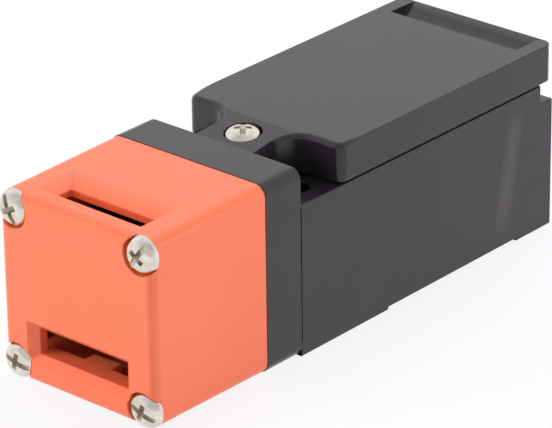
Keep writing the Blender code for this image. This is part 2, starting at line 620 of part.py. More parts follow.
def body_shell():
    """The outside of the body: a full-section collar and a lower block with rounded side edges."""
    bm = prism_bmesh(body_outline(), "X", BODY_INSET - HALF, HALF - BODY_INSET)
    edges = [e for e in bm.edges
             if abs(e.verts[0].co.x - e.verts[1].co.x) < EPS
             and max(v.co.y for v in e.verts) > COLLAR_REAR + EPS]
    bmesh.ops.bevel(bm, geom=edges, offset=EDGE_RADIUS, segments=2, profile=0.5, affect="EDGES")
    flatten(bm)
    shell = place("body_housing", mesh_from("body_housing", bm), (0, 0, 0))
    low, high = Vector((-HALF, COLLAR_FRONT, SECTION_BOTTOM)), Vector((HALF, COLLAR_REAR, SECTION_TOP))
    bm = bmesh.new()
    bmesh.ops.create_cube(bm, size=1.0)
    bmesh.ops.scale(bm, vec=high - low, verts=bm.verts)
    bmesh.ops.translate(bm, vec=(low + high) / 2, verts=bm.verts)
    edges = [e for e in bm.edges if abs(e.verts[0].co.y - e.verts[1].co.y) > EPS]
    bmesh.ops.bevel(bm, geom=edges, offset=CORNER_RADIUS, segments=5, profile=0.5, affect="EDGES")
    flatten(bm)
    return add(shell, place("collar", mesh_from("collar", bm), (0, 0, 0), cutter=True))


def build_body():
    """Body moulding: contact space, cable port, plunger bore, seal seats and screw holes."""
    body = body_shell()
    top = LEDGE_TOP + EPS
    cut(body,
        block("contact_space", (-SPACE_HALF, SPACE_FRONT, SPACE_FLOOR), (SPACE_HALF, SPACE_REAR, top),
              cutter=True),
        block("gasket_rebate", (-SPACE_HALF - REBATE, SPACE_FRONT - REBATE, LEDGE_TOP - REBATE - GAP),
              (SPACE_HALF + REBATE, SPACE_REAR + REBATE, top), cutter=True),
        rod("cable_port", (0, BODY_REAR, PORT_Z), PORT_RADIUS, 2 * (BODY_REAR - SPACE_REAR) + EPS, "Y",
            cutter=True, sides=48),
        rod("plunger_bore", (0, COLLAR_FRONT, AXIS_Z), PLUNGER_RADIUS + GAP,
            2 * (SPACE_FRONT - COLLAR_FRONT + EPS), "Y", cutter=True, sides=24),
        rod("seal_seat", (0, COLLAR_FRONT, AXIS_Z), SEAL_RADIUS + GAP, 2 * (SEAL_THICKNESS + 2 * GAP), "Y",
            cutter=True),
        rod("cover_screw_hole", (0, FIXING, LEDGE_TOP), SCREW_SHANK_RADIUS + GAP,
            2 * (LEDGE_TOP - COVER_SCREW_SEAT + COVER_SCREW_LENGTH + 2 * GAP), "Z", cutter=True, sides=20))
    inner, outer = RING_RADIUS - RING_SECTION - GAP, RING_RADIUS + RING_SECTION + GAP
    floor = 2 * RING_SECTION + GAP
    section = [(inner, -EPS), (inner, floor), (outer, floor), (outer, -EPS), (inner, -EPS)]
    cut(body, turned("ring_groove", section, (0, COLLAR_FRONT, AXIS_Z), "Y", sides=32, cutter=True))
    for i, (x, z) in enumerate(screw_corners(), 1):
        depth = COLLAR_LENGTH - EPS + GAP
        cut(body, rod(f"collar_hole_{i}", (x, COLLAR_FRONT, z), SCREW_SHANK_RADIUS + GAP, 2 * depth, "Y",
                      cutter=True, sides=20))
    for side, name in ((-1, "left"), (1, "right")):
        cut(body, rod(f"mount_hole_{name}", (side * MOUNT_HOLE_PITCH / 2, FIXING, LEDGE_TOP / 2),
                      MOUNT_HOLE_RADIUS, LEDGE_TOP + 2 * EPS, "Z", cutter=True, sides=28))
    return body


def cover_outline():
    """Plan of the cover: a tongue between two round notches, then the full width to the rear."""
    front = COLLAR_REAR + GAP
    rear = LEDGE_END + COVER_OVERHANG
    notch_x = MOUNT_HOLE_PITCH / 2
    right = [(0, front), (notch_x - NOTCH_RADIUS, front)]
    right += arc((notch_x, FIXING), NOTCH_RADIUS, 180, 90, 9)
    right += arc((HALF - COVER_CORNER, SHOULDER + COVER_CORNER), COVER_CORNER, -90, 0, 4)
    right += arc((HALF - COVER_CORNER, rear - COVER_CORNER), COVER_CORNER, 0, 90, 4)
    return mirrored(right + [(0, rear)])


def scoop_outline(rear):
    """Side view of the finger scoop: a steep front wall, then a floor that curves up to the rear lip."""
    front, lip = rear - SCOOP_LENGTH, rear - LIP
    floor = COVER_TOP - SCOOP_DEPTH
    points = [(front, COVER_TOP + EPS), (front + SCOOP_DRAFT, floor)]
    run = lip - front - SCOOP_DRAFT
    for share in (0.4, 0.75, 1.0):
        points.append((front + SCOOP_DRAFT + share * run, floor + SCOOP_DEPTH * share ** 2))
    return points + [(lip, COVER_TOP + EPS)]


def build_cover():
    """Terminal cover: rounded top edge, hollow underside, screw pocket and a scoop at the rear."""
    low = LEDGE_TOP + GAP
    rear = LEDGE_END + COVER_OVERHANG
    bm = prism_bmesh(cover_outline(), "Z", low, COVER_TOP)
    round_edges(bm, COVER_EDGE, 3, lambda co: co.z > COVER_TOP - EPS / 2 and co.y < rear - COVER_CORNER - EPS)
    round_edges(bm, COVER_EDGE, 3, lambda co: co.z < low + EPS / 2 and co.y > rear - EPS / 2)
    cover = place("terminal_cover", mesh_from("terminal_cover", bm), (0, 0, 0))
    cut(cover,
        block("cover_space", (-SPACE_HALF, SPACE_FRONT, low - EPS),
              (SPACE_HALF, SPACE_REAR, COVER_TOP - COVER_SKIN), cutter=True),
        rod("cover_screw_pocket", (0, FIXING, COVER_SCREW_SEAT - GAP + SCREW_HEAD_HEIGHT),
            SCREW_HEAD_RADIUS + GAP, 2 * SCREW_HEAD_HEIGHT, "Z", cutter=True, sides=40),
        rod("cover_screw_clearance", (0, FIXING, low), SCREW_SHANK_RADIUS + GAP, 2 * (COVER_TOP - low), "Z",
            cutter=True, sides=20),
        prism("tongue_slope", [(COLLAR_REAR, COVER_TOP + EPS), (COLLAR_REAR, COVER_TOP - TONGUE_DROP),
                               (SHOULDER, COVER_TOP), (SHOULDER, COVER_TOP + EPS)],
              "X", -HALF, HALF, cutter=True),
        prism("scoop", scoop_outline(rear), "X", -SCOOP_HALF, SCOOP_HALF, cutter=True))
    return cover


def build_cover_screw():
    """The screw in the tongue of the cover."""
    return pan_screw("cover_screw", (0, FIXING, COVER_SCREW_SEAT), "Z", COVER_SCREW_LENGTH, COVER_SCREW_TURN)


def build_cover_gasket():
    """Flat ring in the rebate round the contact space."""
    out = REBATE - GAP
    low, high = LEDGE_TOP - REBATE, LEDGE_TOP
    gasket = block("cover_gasket", (-SPACE_HALF - out, SPACE_FRONT - out, low),
                   (SPACE_HALF + out, SPACE_REAR + out, high))
    hole = block("gasket_hole", (-SPACE_HALF, SPACE_FRONT, low - EPS), (SPACE_HALF, SPACE_REAR, high + EPS),
                 cutter=True)
    return cut(gasket, hole)


def terminal_places():
    """Name, side, screw X, screw Y and upright Y of the four terminals."""
    outer_x = STRIP_OUTER - PAD_HALF
    inner_x = INNER_PLATE_OUTER - UPRIGHT_HALF - GAP
    return [("1", -1, outer_x, OUTER_SCREW_Y, FRONT_UPRIGHT),
            ("2", 1, outer_x, OUTER_SCREW_Y, FRONT_UPRIGHT),
            ("3", -1, inner_x, INNER_SCREW_Y, REAR_UPRIGHT),
            ("4", 1, inner_x, INNER_SCREW_Y, REAR_UPRIGHT)]


def build_base():
    """Contact base: floor block with a spring post, a barrier rib and the terminal screw holes."""
    base = block("contact_base", (-SPACE_HALF + GAP, SPACE_FRONT + GAP, SPACE_FLOOR + GAP),
                 (SPACE_HALF - GAP, BASE_REAR, BASE_TOP))
    post_rear = SPRING_POST_FRONT + SPRING_POST
    post = block("spring_post", (-CARRIAGE_HALF, SPRING_POST_FRONT, BASE_TOP - EPS),
                 (CARRIAGE_HALF, post_rear, AXIS_Z + CARRIAGE_HEIGHT / 2), cutter=True)
    rib = block("barrier_rib", (-RIB / 2, PIN_END + GAP, BASE_TOP - EPS),
                (RIB / 2, BASE_REAR - EPS, AXIS_Z + EPS), cutter=True)
    add(base, post, rib)
    cut(base, rod("pin_hole", (0, SPRING_POST_FRONT, AXIS_Z), PIN_RADIUS + GAP,
                  4 * SPRING_POST + 2 * PIN_RADIUS, "Y", cutter=True, sides=16))
    for number, side, x, y, _ in terminal_places():
        cut(base, rod(f"terminal_hole_{number}", (side * x, y, BASE_TOP), TERMINAL_SHANK_RADIUS + GAP,
                      2 * (TERMINAL_SCREW_REACH + GAP), "Z", cutter=True, sides=16))
    return base


def terminal_outline(side, x, y, upright):
    """Plan of a terminal strip: foot of its upright, strip along the side and screw pad."""
    inner = CONTACT_X - UPRIGHT_HALF
    if upright == FRONT_UPRIGHT:
        points = [(inner, upright), (STRIP_OUTER, upright), (STRIP_OUTER, y + PAD_HALF),
                  (x - PAD_HALF, y + PAD_HALF), (x - PAD_HALF, y - PAD_HALF), (STRIP_INNER, y - PAD_HALF),
                  (STRIP_INNER, upright + 2 * BLADE), (inner, upright + 2 * BLADE)]
    else:
        points = [(inner, upright), (INNER_PLATE_OUTER, upright), (INNER_PLATE_OUTER, y + PAD_HALF),
                  (inner, y + PAD_HALF)]
    return [(side * px, py) for px, py in points]


def build_terminals():
    """Four bent strips, each with an upright and a rivet that a bridge touches."""
    made = []
    for number, side, x, y, upright in terminal_places():
        strip = prism(f"terminal_{number}", terminal_outline(side, x, y, upright), "Z", BLADE_LOW, BLADE_TOP)
        near, far = sorted((side * (CONTACT_X - UPRIGHT_HALF), side * (CONTACT_X + UPRIGHT_HALF)))
        wall = block(f"upright_{number}", (near, upright, BLADE_LOW + BLADE / 2),
                     (far, upright + BLADE, AXIS_Z + BRIDGE_HEIGHT / 2), cutter=True)
        face = upright + BLADE if upright == FRONT_UPRIGHT else upright - RIVET
        rivet = rod(f"fixed_rivet_{number}", (side * CONTACT_X, face + RIVET / 2, AXIS_Z), RIVET_RADIUS,
                    RIVET + BLADE / 2, "Y", cutter=True, sides=16)
        rivet.location.y += -BLADE / 4 if upright == FRONT_UPRIGHT else BLADE / 4
        hole = rod(f"strip_hole_{number}", (side * x, y, BLADE_LOW), TERMINAL_SHANK_RADIUS + GAP,
                   4 * BLADE, "Z", cutter=True, sides=16)
        add(strip, wall, rivet)
        made.append(cut(strip, hole))
    return made


def build_terminal_screws():
    """A square clamp plate and a screw on each terminal."""
    clamps, screws = [], []
    clamp_low = BLADE_TOP + GAP
    seat = clamp_low + CLAMP_THICKNESS + GAP
    half = PAD_HALF - GAP
    for number, side, x, y, _ in terminal_places():
        clamp = block(f"terminal_clamp_{number}", (side * x - half, y - half, clamp_low),
                      (side * x + half, y + half, clamp_low + CLAMP_THICKNESS))
        hole = rod(f"clamp_hole_{number}", (side * x, y, clamp_low), TERMINAL_SHANK_RADIUS + GAP,
                   4 * CLAMP_THICKNESS, "Z", cutter=True, sides=16)
        clamps.append(cut(clamp, hole))
        reach = seat - BASE_TOP + TERMINAL_SCREW_REACH
        profile = [(0, -reach), (TERMINAL_SHANK_RADIUS, -reach), (TERMINAL_SHANK_RADIUS, 0),
                   (TERMINAL_HEAD_RADIUS, 0), (TERMINAL_HEAD_RADIUS, TERMINAL_HEAD_HEIGHT - TERMINAL_CROWN),
                   (TERMINAL_HEAD_RADIUS - TERMINAL_CROWN, TERMINAL_HEAD_HEIGHT), (0, TERMINAL_HEAD_HEIGHT)]
        screw = turned(f"terminal_screw_{number}", profile, (side * x, y, seat), "Z", sides=16)
        top = seat + TERMINAL_HEAD_HEIGHT
        groove = block(f"screw_groove_{number}",
                       (side * x - TERMINAL_HEAD_RADIUS, y - RECESS_WIDTH / 2, seat + TERMINAL_CROWN),
                       (side * x + TERMINAL_HEAD_RADIUS, y + RECESS_WIDTH / 2, top + EPS), cutter=True)
        screws.append(cut(screw, groove))
    return clamps, screws


def on_slide(obj, slide_empty):
    """Parent an object to the slide's empty and keep its place."""
    obj.parent = slide_empty
    obj.location = Vector(obj.location) - slide_empty.location
    return obj


def build_carriage(slide_empty):
    """Contact carriage: a bar with two windows for the bridges and a guide pin at its rear."""
    low, high = AXIS_Z - CARRIAGE_HEIGHT / 2, AXIS_Z + CARRIAGE_HEIGHT / 2
    carriage = block("contact_carriage", (-CARRIAGE_HALF, CARRIAGE_FRONT, low),
                     (CARRIAGE_HALF, CARRIAGE_REAR, high))
    window_low, window_high = AXIS_Z - BRIDGE_HEIGHT / 2 - GAP, AXIS_Z + BRIDGE_HEIGHT / 2 + GAP
    pin_start = CARRIAGE_REAR - CARRIAGE_WALL / 2
    add(carriage, rod("guide_pin", (0, (pin_start + PIN_END) / 2, AXIS_Z), PIN_RADIUS, PIN_END - pin_start,
                      "Y", cutter=True, sides=16))
    for i, (front, rear) in enumerate(((WINDOW_1_FRONT, WINDOW_1_REAR), (WINDOW_2_FRONT, WINDOW_2_REAR)), 1):
        cut(carriage, block(f"window_{i}", (-WIDTH, front, window_low), (WIDTH, rear, window_high),
                            cutter=True))
    return on_slide(carriage, slide_empty)


def build_bridges(slide_empty):
    """Two contact bridges with rivets, each held by a small spring in its window."""
    made = []
    half = CONTACT_X + RIVET_RADIUS
    rows = ((BRIDGE_1_FRONT, -1, BRIDGE_1_FRONT + BRIDGE + GAP), (BRIDGE_2_FRONT, 1, WINDOW_2_FRONT + GAP))
    for i, (front, facing, spring_front) in enumerate(rows, 1):
        bridge = block(f"contact_bridge_{i}", (-half, front, AXIS_Z - BRIDGE_HEIGHT / 2),
                       (half, front + BRIDGE, AXIS_Z + BRIDGE_HEIGHT / 2))
        face = front if facing < 0 else front + BRIDGE
        for side, name in ((-1, "left"), (1, "right")):
            centre = face + facing * (RIVET / 2 - BRIDGE / 4)
            add(bridge, rod(f"moving_rivet_{i}_{name}", (side * CONTACT_X, centre, AXIS_Z), RIVET_RADIUS,
                            RIVET + BRIDGE / 2, "Y", cutter=True, sides=16))
        spring = coil(f"contact_spring_{i}", (0, spring_front + CONTACT_SPRING_LENGTH / 2, AXIS_Z),
                      CONTACT_SPRING_RADIUS, CONTACT_WIRE, CONTACT_SPRING_LENGTH, 2.5, 10)
        made.append((on_slide(bridge, slide_empty), on_slide(spring, slide_empty)))
    return made


def build_return_spring(slide_empty):
    """Spring round the guide pin, between the carriage and the post of the base."""
    centre = CARRIAGE_REAR + GAP + RETURN_SPRING_LENGTH / 2
    spring = coil("return_spring", (0, centre, AXIS_Z), RETURN_SPRING_RADIUS, RETURN_WIRE,
                  RETURN_SPRING_LENGTH, 5, 12)
    return on_slide(spring, slide_empty)


def joint_empty(name, location):
    """An empty on a joint's axis, which carries the moving pieces."""
    empty = bpy.data.objects.new(name, None)
    empty.location = location
    PARTS.objects.link(empty)
    return empty


def main():
    start_scene()
    cam_axis = joint_empty("cam_turn", (0, CAM_Y, AXIS_Z))
    slide = joint_empty("plunger_slide", (0, PLUNGER_TIP, AXIS_Z))

    orange = [build_head()]
    head_screws = build_head_screws()
    carrier = build_carrier()
    rotor = build_rotor(cam_axis)
    axle = build_axle()
    plunger = build_plunger(slide)
    seals = build_seals()
    body = build_body()
    cover = build_cover()
    cover_screw = build_cover_screw()
    gasket = build_cover_gasket()
    base = build_base()
    terminals = build_terminals()
    clamps, terminal_screws = build_terminal_screws()
    carriage = build_carriage(slide)
    bridges = build_bridges(slide)
    return_spring = build_return_spring(slide)

    paint(orange, "orange_plastic", (255, 112, 72), 0.42)
    paint([body, cover], "black_plastic", (62, 61, 66), 0.5)
    paint([carrier, base], "grey_plastic", (70, 70, 72), 0.55)
    paint([rotor], "dark_plastic", (40, 38, 40), 0.45)
    paint([carriage, plunger], "white_plastic", (205, 203, 196), 0.5)
    paint(seals + [gasket], "rubber", (28, 28, 30), 0.8)
    paint(head_screws + [cover_screw, axle], "nickel_steel", (200, 196, 186), 0.25, 1.0)
    paint(terminal_screws + clamps, "zinc_steel", (186, 186, 180), 0.35, 1.0)
    paint(terminals + [bridge for bridge, _ in bridges], "brass", (196, 160, 84), 0.35, 1.0)
    paint([spring for _, spring in bridges] + [return_spring], "spring_steel", (150, 150, 150), 0.35, 1.0)


main()
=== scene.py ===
# %% [markdown]
# # A key-operated safety switch
# A guard door carries a flat key. When the door shuts, the key enters one of the two slots of the orange
# head and turns a cam, and the cam moves the contacts inside the black body.
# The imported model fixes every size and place, so this lesson gives the same pieces their finished surfaces:
# softened mould edges, screws with their drives and threads, wound springs and moulded plastic.

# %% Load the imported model
import json
import math

import bmesh
import bpy
from mathutils import Matrix, Vector

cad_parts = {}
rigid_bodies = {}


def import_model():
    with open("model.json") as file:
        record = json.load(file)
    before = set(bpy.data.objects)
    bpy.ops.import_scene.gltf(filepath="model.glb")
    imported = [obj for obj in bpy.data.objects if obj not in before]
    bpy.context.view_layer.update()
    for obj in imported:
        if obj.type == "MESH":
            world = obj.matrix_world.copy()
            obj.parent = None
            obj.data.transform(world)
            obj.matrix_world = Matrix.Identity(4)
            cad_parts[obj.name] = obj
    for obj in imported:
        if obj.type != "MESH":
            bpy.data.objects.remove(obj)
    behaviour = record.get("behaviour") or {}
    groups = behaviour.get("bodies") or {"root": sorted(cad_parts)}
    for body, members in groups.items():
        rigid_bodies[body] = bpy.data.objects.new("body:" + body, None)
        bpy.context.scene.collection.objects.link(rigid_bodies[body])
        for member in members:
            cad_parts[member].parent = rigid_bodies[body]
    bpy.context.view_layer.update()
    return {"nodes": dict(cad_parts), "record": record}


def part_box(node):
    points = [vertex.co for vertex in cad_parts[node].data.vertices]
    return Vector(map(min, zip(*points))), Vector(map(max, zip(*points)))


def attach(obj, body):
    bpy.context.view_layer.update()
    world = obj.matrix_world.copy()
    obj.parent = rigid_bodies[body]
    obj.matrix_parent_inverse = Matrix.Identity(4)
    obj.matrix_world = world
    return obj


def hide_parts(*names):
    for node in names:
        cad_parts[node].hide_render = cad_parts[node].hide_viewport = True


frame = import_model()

MM = 0.001
SCENE = bpy.context.scene

# %% [markdown]
# The camera comes first, because it decides which details can be seen. The picture was taken from in front
# of the head, a little to its right and from above, with a long lens that keeps the long edges almost
# parallel. Three angles, a distance and a focal length say all of that.

# %% Camera
AZIMUTH, ELEVATION, ROLL = math.radians(41.274), math.radians(24.987), math.radians(-0.767)
DISTANCE = 571.4 * MM
LENS, SENSOR_WIDTH = 251.26, 36.0           # in millimetres, as Blender's cameras count
AIM = Vector((2.884, -5.4, 16.615)) * MM


def aim_axes(azimuth, elevation, roll):
    """Right, up and backward directions of a camera that looks at the aim point."""
    back = Vector((math.sin(azimuth) * math.cos(elevation), -math.cos(azimuth) * math.cos(elevation),
                   math.sin(elevation)))
    right = Vector((math.cos(azimuth), math.sin(azimuth), 0))
    up = back.cross(right)
    return (right * math.cos(roll) + up * math.sin(roll), up * math.cos(roll) - right * math.sin(roll), back)


axes = aim_axes(AZIMUTH, ELEVATION, ROLL)
camera = bpy.data.objects.new("camera", bpy.data.cameras.new("camera"))
SCENE.collection.objects.link(camera)
camera.data.lens = LENS
camera.data.sensor_width = SENSOR_WIDTH
camera.data.clip_start = 10 * MM
camera.matrix_world = Matrix.Translation(AIM + axes[2] * DISTANCE) @ Matrix(axes).transposed().to_4x4()
SCENE.camera = camera
SCENE.view_settings.view_transform = "Standard"
print("camera at", [round(c, 3) for c in camera.matrix_world.translation])

# %% [markdown]
# Materials and Geometry Nodes are both graphs of small steps. Written node by node they hide the idea
# behind them, so a socket is wrapped in a class that takes part in ordinary arithmetic: `1 - mask * 0.3`
# then adds the Math nodes by itself.


# %% Sockets that take part in arithmetic
class Socket:
    """An output of a node that can be added, multiplied and so on; each operator adds one Math node."""

    def __init__(self, graph, socket):
        self.graph, self.socket = graph, socket

    def math(self, operation, *values):
        return self.graph.node("ShaderNodeMath", {"operation": operation}, dict(enumerate(values)))

    def __add__(self, other):
        return self.math("ADD", self, other)

    def __sub__(self, other):
        return self.math("SUBTRACT", self, other)

    def __rsub__(self, other):
        return self.math("SUBTRACT", other, self)

    def __mul__(self, other):
        return self.math("MULTIPLY", self, other)

    def __truediv__(self, other):
        return self.math("DIVIDE", self, other)

    def __rtruediv__(self, other):
        return self.math("DIVIDE", other, self)

    def __pow__(self, other):
        return self.math("POWER", self, other)

    __radd__ = __add__
    __rmul__ = __mul__

    def clamp(self):
        return self.math("MINIMUM", self.math("MAXIMUM", self, 0.0), 1.0)

    def output(self, name):
        """Another output of the same node."""
        return Socket(self.graph, self.socket.node.outputs[name])


print("sockets can be added, multiplied, divided and raised to a power")

# %% [markdown]
# Every other node comes from one method. It sets the node's own options before it fills the sockets,
# because an option can change which sockets a node has.


# %% Node trees written as expressions
class Graph:
    """A node tree that is written as Python expressions."""

    def __init__(self, tree):
        self.tree = tree

    def node(self, kind, settings=None, inputs=None, output=0):
        """Add a node: its settings first, then the value, the link or the list of links of each input."""
        node = self.tree.nodes.new(kind)
        for name, value in (settings or {}).items():
            setattr(node, name, value)
        for key, value in (inputs or {}).items():
            for one in value if isinstance(value, list) else [value]:
                if isinstance(one, Socket):
                    self.tree.links.new(one.socket, node.inputs[key])
                else:
                    node.inputs[key].default_value = one
        return Socket(self, node.outputs[output])

    def mix_colour(self, factor, low, high):
        """A colour between two others."""
        return self.node("ShaderNodeMix", {"data_type": "RGBA"}, {0: factor, 6: low, 7: high}, output=2)

    def xyz(self, x=0.0, y=0.0, z=0.0):
        """A vector from three numbers or sockets."""
        return self.node("ShaderNodeCombineXYZ", inputs={0: x, 1: y, 2: z})


print("graphs can be written")

# %% [markdown]
# Each finish is one material, kept by its name. A colour is written as it looks on a screen, and the shader
# works with its linear form, so one helper turns the first into the second.

# %% Colours and empty materials
FINISH = {}


def linear(*colour):
    """A display colour of 0 to 255 as the linear colour that a shader works with."""
    return tuple(((c / 255 + 0.055) / 1.055) ** 2.4 if c > 10 else c / 255 / 12.92 for c in colour) + (1.0,)


def new_material(name):
    """An empty material with its graph, its shader's node and the place on the piece."""
    material = bpy.data.materials.new(name)
    material.use_nodes = True
    graph = Graph(material.node_tree)
    shader = material.node_tree.nodes["Principled BSDF"]
    place = graph.node("ShaderNodeTexCoord").output("Object")
    return material, graph, shader, place


def plug(graph, shader, **inputs):
    """Link or set inputs of the shader by name, with _ for a space."""
    for name, value in inputs.items():
        socket = shader.inputs[name.replace("_", " ")]
        if isinstance(value, Socket):
            graph.tree.links.new(value.socket, socket)
        else:
            socket.default_value = value


print("middle grey for the shader:", round(linear(128)[0], 3))

# %% [markdown]
# Patterns follow Object coordinates, so they stay on a piece when it moves. Those are metres here, so every
# noise is given the real size of its blobs. Noise keeps close to its middle, and is spread before it mixes
# two colours.


# %% Patterns
def noise(graph, place, feature, detail):
    """Soft noise from 0 to 1 whose blobs are about `feature` metres across."""
    return graph.node("ShaderNodeTexNoise", inputs={"Vector": place, "Scale": 1 / feature, "Detail": detail})


def spread(mask, gain):
    """Stretch a mask about its middle, so that it reaches 0 and 1."""
    return (mask * gain - (gain - 1) / 2).clamp()


def around(mask, middle, swing):
    """A value that a mask moves evenly about a middle."""
    return mask * swing + (middle - swing / 2)


print("patterns: noise, spread and around")

# %% [markdown]
# The black body has a faint paler line in front of its thick rear wall: a painted sheen, the gloss that a
# shallow sink there catches, painted into the colour. It leans a little and fades out at both ends. Distance
# from a leaning middle line gives it, with no image.

# %% The painted sheen in the black plastic
LINE_Y, LINE_Z = 35.6 * MM, 13.5 * MM       # middle of the paler line
LINE_LEAN, LINE_HALF_WIDTH = 0.19, 2.3 * MM
LINE_FOOT, LINE_HEAD = 2 * MM, 23 * MM      # heights at which it has faded out
FOOT_FADE, HEAD_FADE = 5 * MM, 4 * MM


def painted_sheen_band(graph, place):
    """Painted sheen: a soft upright band near the rear wall of the body, 1 in its middle, and only below the
    cover.
    """
    part = graph.node("ShaderNodeSeparateXYZ", inputs={0: place})
    y, z = part.output("Y"), part.output("Z")
    off = (y - LINE_Y - (z - LINE_Z) * LINE_LEAN) / LINE_HALF_WIDTH
    ends = ((z - LINE_FOOT) / FOOT_FADE).clamp() * ((LINE_HEAD - z) / HEAD_FADE).clamp()
    return (1 - off * off).clamp() * ends


print("paler line at", round(LINE_Y / MM, 1), "mm, leaning", LINE_LEAN)

# %% [markdown]
# Moulded plastic looks plain from a distance, but it is never one flat colour. The pigment clouds slightly,
# the mould leaves a fine grain, and the grain scatters the gloss a little unevenly. Three noises do this: one
# for the colour, one for the roughness and one as a bump about a hundredth of a millimetre deep.

# %% Plastic and rubber
CLOUD, RUB, GRAIN = 9 * MM, 1.7 * MM, 0.16 * MM    # sizes of the blobs in the three noises


def moulded(name, colour, shadow, roughness, grain_depth=0.012 * MM, specular=0.5, painted_sheen=None):
    """Moulded plastic between two near colours, with a fine mould grain and perhaps a painted sheen along a
    line.
    """
    material, graph, shader, place = new_material(name)
    cloud = noise(graph, place, CLOUD, 3.0)
    fine = noise(graph, place, GRAIN, 2.0)
    rub = noise(graph, place, RUB, 4.0)
    bump = graph.node("ShaderNodeBump", inputs={"Height": fine, "Strength": 0.6, "Distance": grain_depth})
    tone = graph.mix_colour(spread(cloud, 1.6), linear(*shadow), linear(*colour))
    if painted_sheen:
        # painted sheen: a paler colour along the sink near the rear wall, standing for the gloss that it
        # catches
        tone = graph.mix_colour(painted_sheen_band(graph, place) * (cloud * 0.8 + 0.5), tone, linear(*painted_sheen))
    plug(graph, shader, Base_Color=tone, Roughness=around(rub, roughness, 0.14), Normal=bump,
         Specular_IOR_Level=specular)
    FINISH[name] = material


moulded("orange_plastic", (247, 119, 80), (244, 115, 76), 0.34, specular=0.6)
# the black body's last colour is its painted sheen
moulded("black_plastic", (44, 38, 45), (36, 31, 38), 0.23, specular=0.47, painted_sheen=(66, 60, 67))
moulded("grey_plastic", (70, 70, 72), (64, 64, 66), 0.5)
moulded("dark_plastic", (42, 40, 41), (36, 34, 35), 0.45)
moulded("white_plastic", (206, 203, 195), (198, 195, 186), 0.45)
moulded("rubber", (30, 30, 31), (24, 24, 25), 0.75, grain_depth=0.02 * MM, specular=0.3)
print("plastics:", sorted(FINISH))

# %% [markdown]
# The screws are nickel plated and the contacts are stamped brass. Bare metal has no colour of its own from
# pigment: what shows is the room in its gloss. So these finishes differ in how blurred that gloss is, and in
# which direction. Stamped strip keeps fine lines from rolling, which a noise stretched along one axis gives.
# A screw's drive is given its own duller, darker colour: painted shade for its hollow, where less light
# reaches.

# %% Metals
POLISH, TARNISH, POLISH_DEPTH = 0.5 * MM, 1.3 * MM, 0.004 * MM
RECESS_ROUGHER = 0.25


def plated(name, colour, tarnish, roughness, streak=(1, 1, 1), painted_drive_shade=None):
    """Metal with a slightly uneven polish; a streak factor stretches the pattern along an axis.

    A darker colour, painted shade for the hollow of the drive, goes where the attribute "drive" is 1."""
    material, graph, shader, place = new_material(name)
    stretched = graph.node("ShaderNodeMapping", inputs={"Vector": place, "Scale": streak})
    polish = noise(graph, stretched, POLISH, 4.0)
    cloud = noise(graph, place, TARNISH, 3.0)
    bump = graph.node("ShaderNodeBump", inputs={"Height": polish, "Strength": 0.4, "Distance": POLISH_DEPTH})
    tone = graph.mix_colour(spread(cloud, 1.8), linear(*tarnish), linear(*colour))
    rough = around(polish, roughness, 0.16)
    if painted_drive_shade:
        cut = graph.node("ShaderNodeAttribute", {"attribute_name": "drive"}).output("Fac")
        # painted shade: the walls of the drive take a darker colour than the dome
        tone = graph.mix_colour(cut, tone, linear(*painted_drive_shade))
        rough = rough + cut * RECESS_ROUGHER
    plug(graph, shader, Metallic=1.0, Base_Color=tone, Roughness=rough.clamp(), Normal=bump)
    FINISH[name] = material


# the last colour of each screw metal is painted shade in its drive
plated("nickel_steel", (243, 237, 229), (206, 199, 188), 0.2, painted_drive_shade=(210, 200, 184))
plated("zinc_steel", (190, 192, 190), (168, 170, 168), 0.34, painted_drive_shade=(160, 160, 155))
plated("brass", (205, 170, 96), (186, 148, 78), 0.3, streak=(1, 0.1, 1))
plated("spring_steel", (160, 160, 160), (136, 136, 138), 0.3)
print("finishes:", sorted(FINISH))

# %% [markdown]
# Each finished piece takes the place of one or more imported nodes. It rides the body that they belong to, so
# that it moves with them, and it wears the material that their record names. The record says both.

# %% Give a finished piece its body and material
BODY_OF = {node: body for body, nodes in frame["record"]["behaviour"]["bodies"].items() for node in nodes}
SLOT_OF = {part["node"]: part["material_slot"] for part in frame["record"]["subparts"]}


def add_object(name, mesh):
    """An object at the origin, in the scene."""
    obj = bpy.data.objects.new(name, mesh)
    SCENE.collection.objects.link(obj)
    return obj


def plain_mesh(obj, *modifiers):
    """Turn what the modifiers make into the object's own mesh, and remove them."""
    evaluated = obj.evaluated_get(bpy.context.evaluated_depsgraph_get())
    mesh = bpy.data.meshes.new_from_object(evaluated)
    for modifier in modifiers:
        obj.modifiers.remove(modifier)
    obj.data = mesh
    return obj


def dress(piece, *nodes):
    """Give a finished piece its material, its body and the nodes that it stands for."""
    slot = SLOT_OF[nodes[0]]
    if not piece.data.materials:
        piece.data.materials.append(FINISH[slot])
    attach(piece, BODY_OF[nodes[0]])
    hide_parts(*nodes)
    return piece


print("nodes with a body:", len(BODY_OF), "and with a material:", len(SLOT_OF))

# %% [markdown]
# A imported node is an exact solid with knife-sharp edges, and a real moulding or stamping never has those:
# every edge has a small round that catches the light. The node's own mesh stays as it is, and a copy takes
# its place in the picture. The copy's loose triangles are first merged into whole faces, because a bevel
# needs edges that join two faces.

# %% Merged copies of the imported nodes
FLAT = math.radians(0.5)                    # faces that turn less than this are one face


def merged_copy(node):
    """A node's mesh with its doubled points merged and its coplanar triangles joined."""
    bm = bmesh.new()
    bm.from_mesh(frame["nodes"][node].data)
    bmesh.ops.remove_doubles(bm, verts=bm.verts, dist=0.001 * MM)
    bmesh.ops.dissolve_limit(bm, angle_limit=FLAT, verts=bm.verts, edges=bm.edges)
    mesh = bpy.data.meshes.new(node)
    bm.to_mesh(mesh)
    bm.free()
    mesh.materials.clear()
    return mesh


print("faces that turn less than", round(math.degrees(FLAT), 1), "degrees are joined")

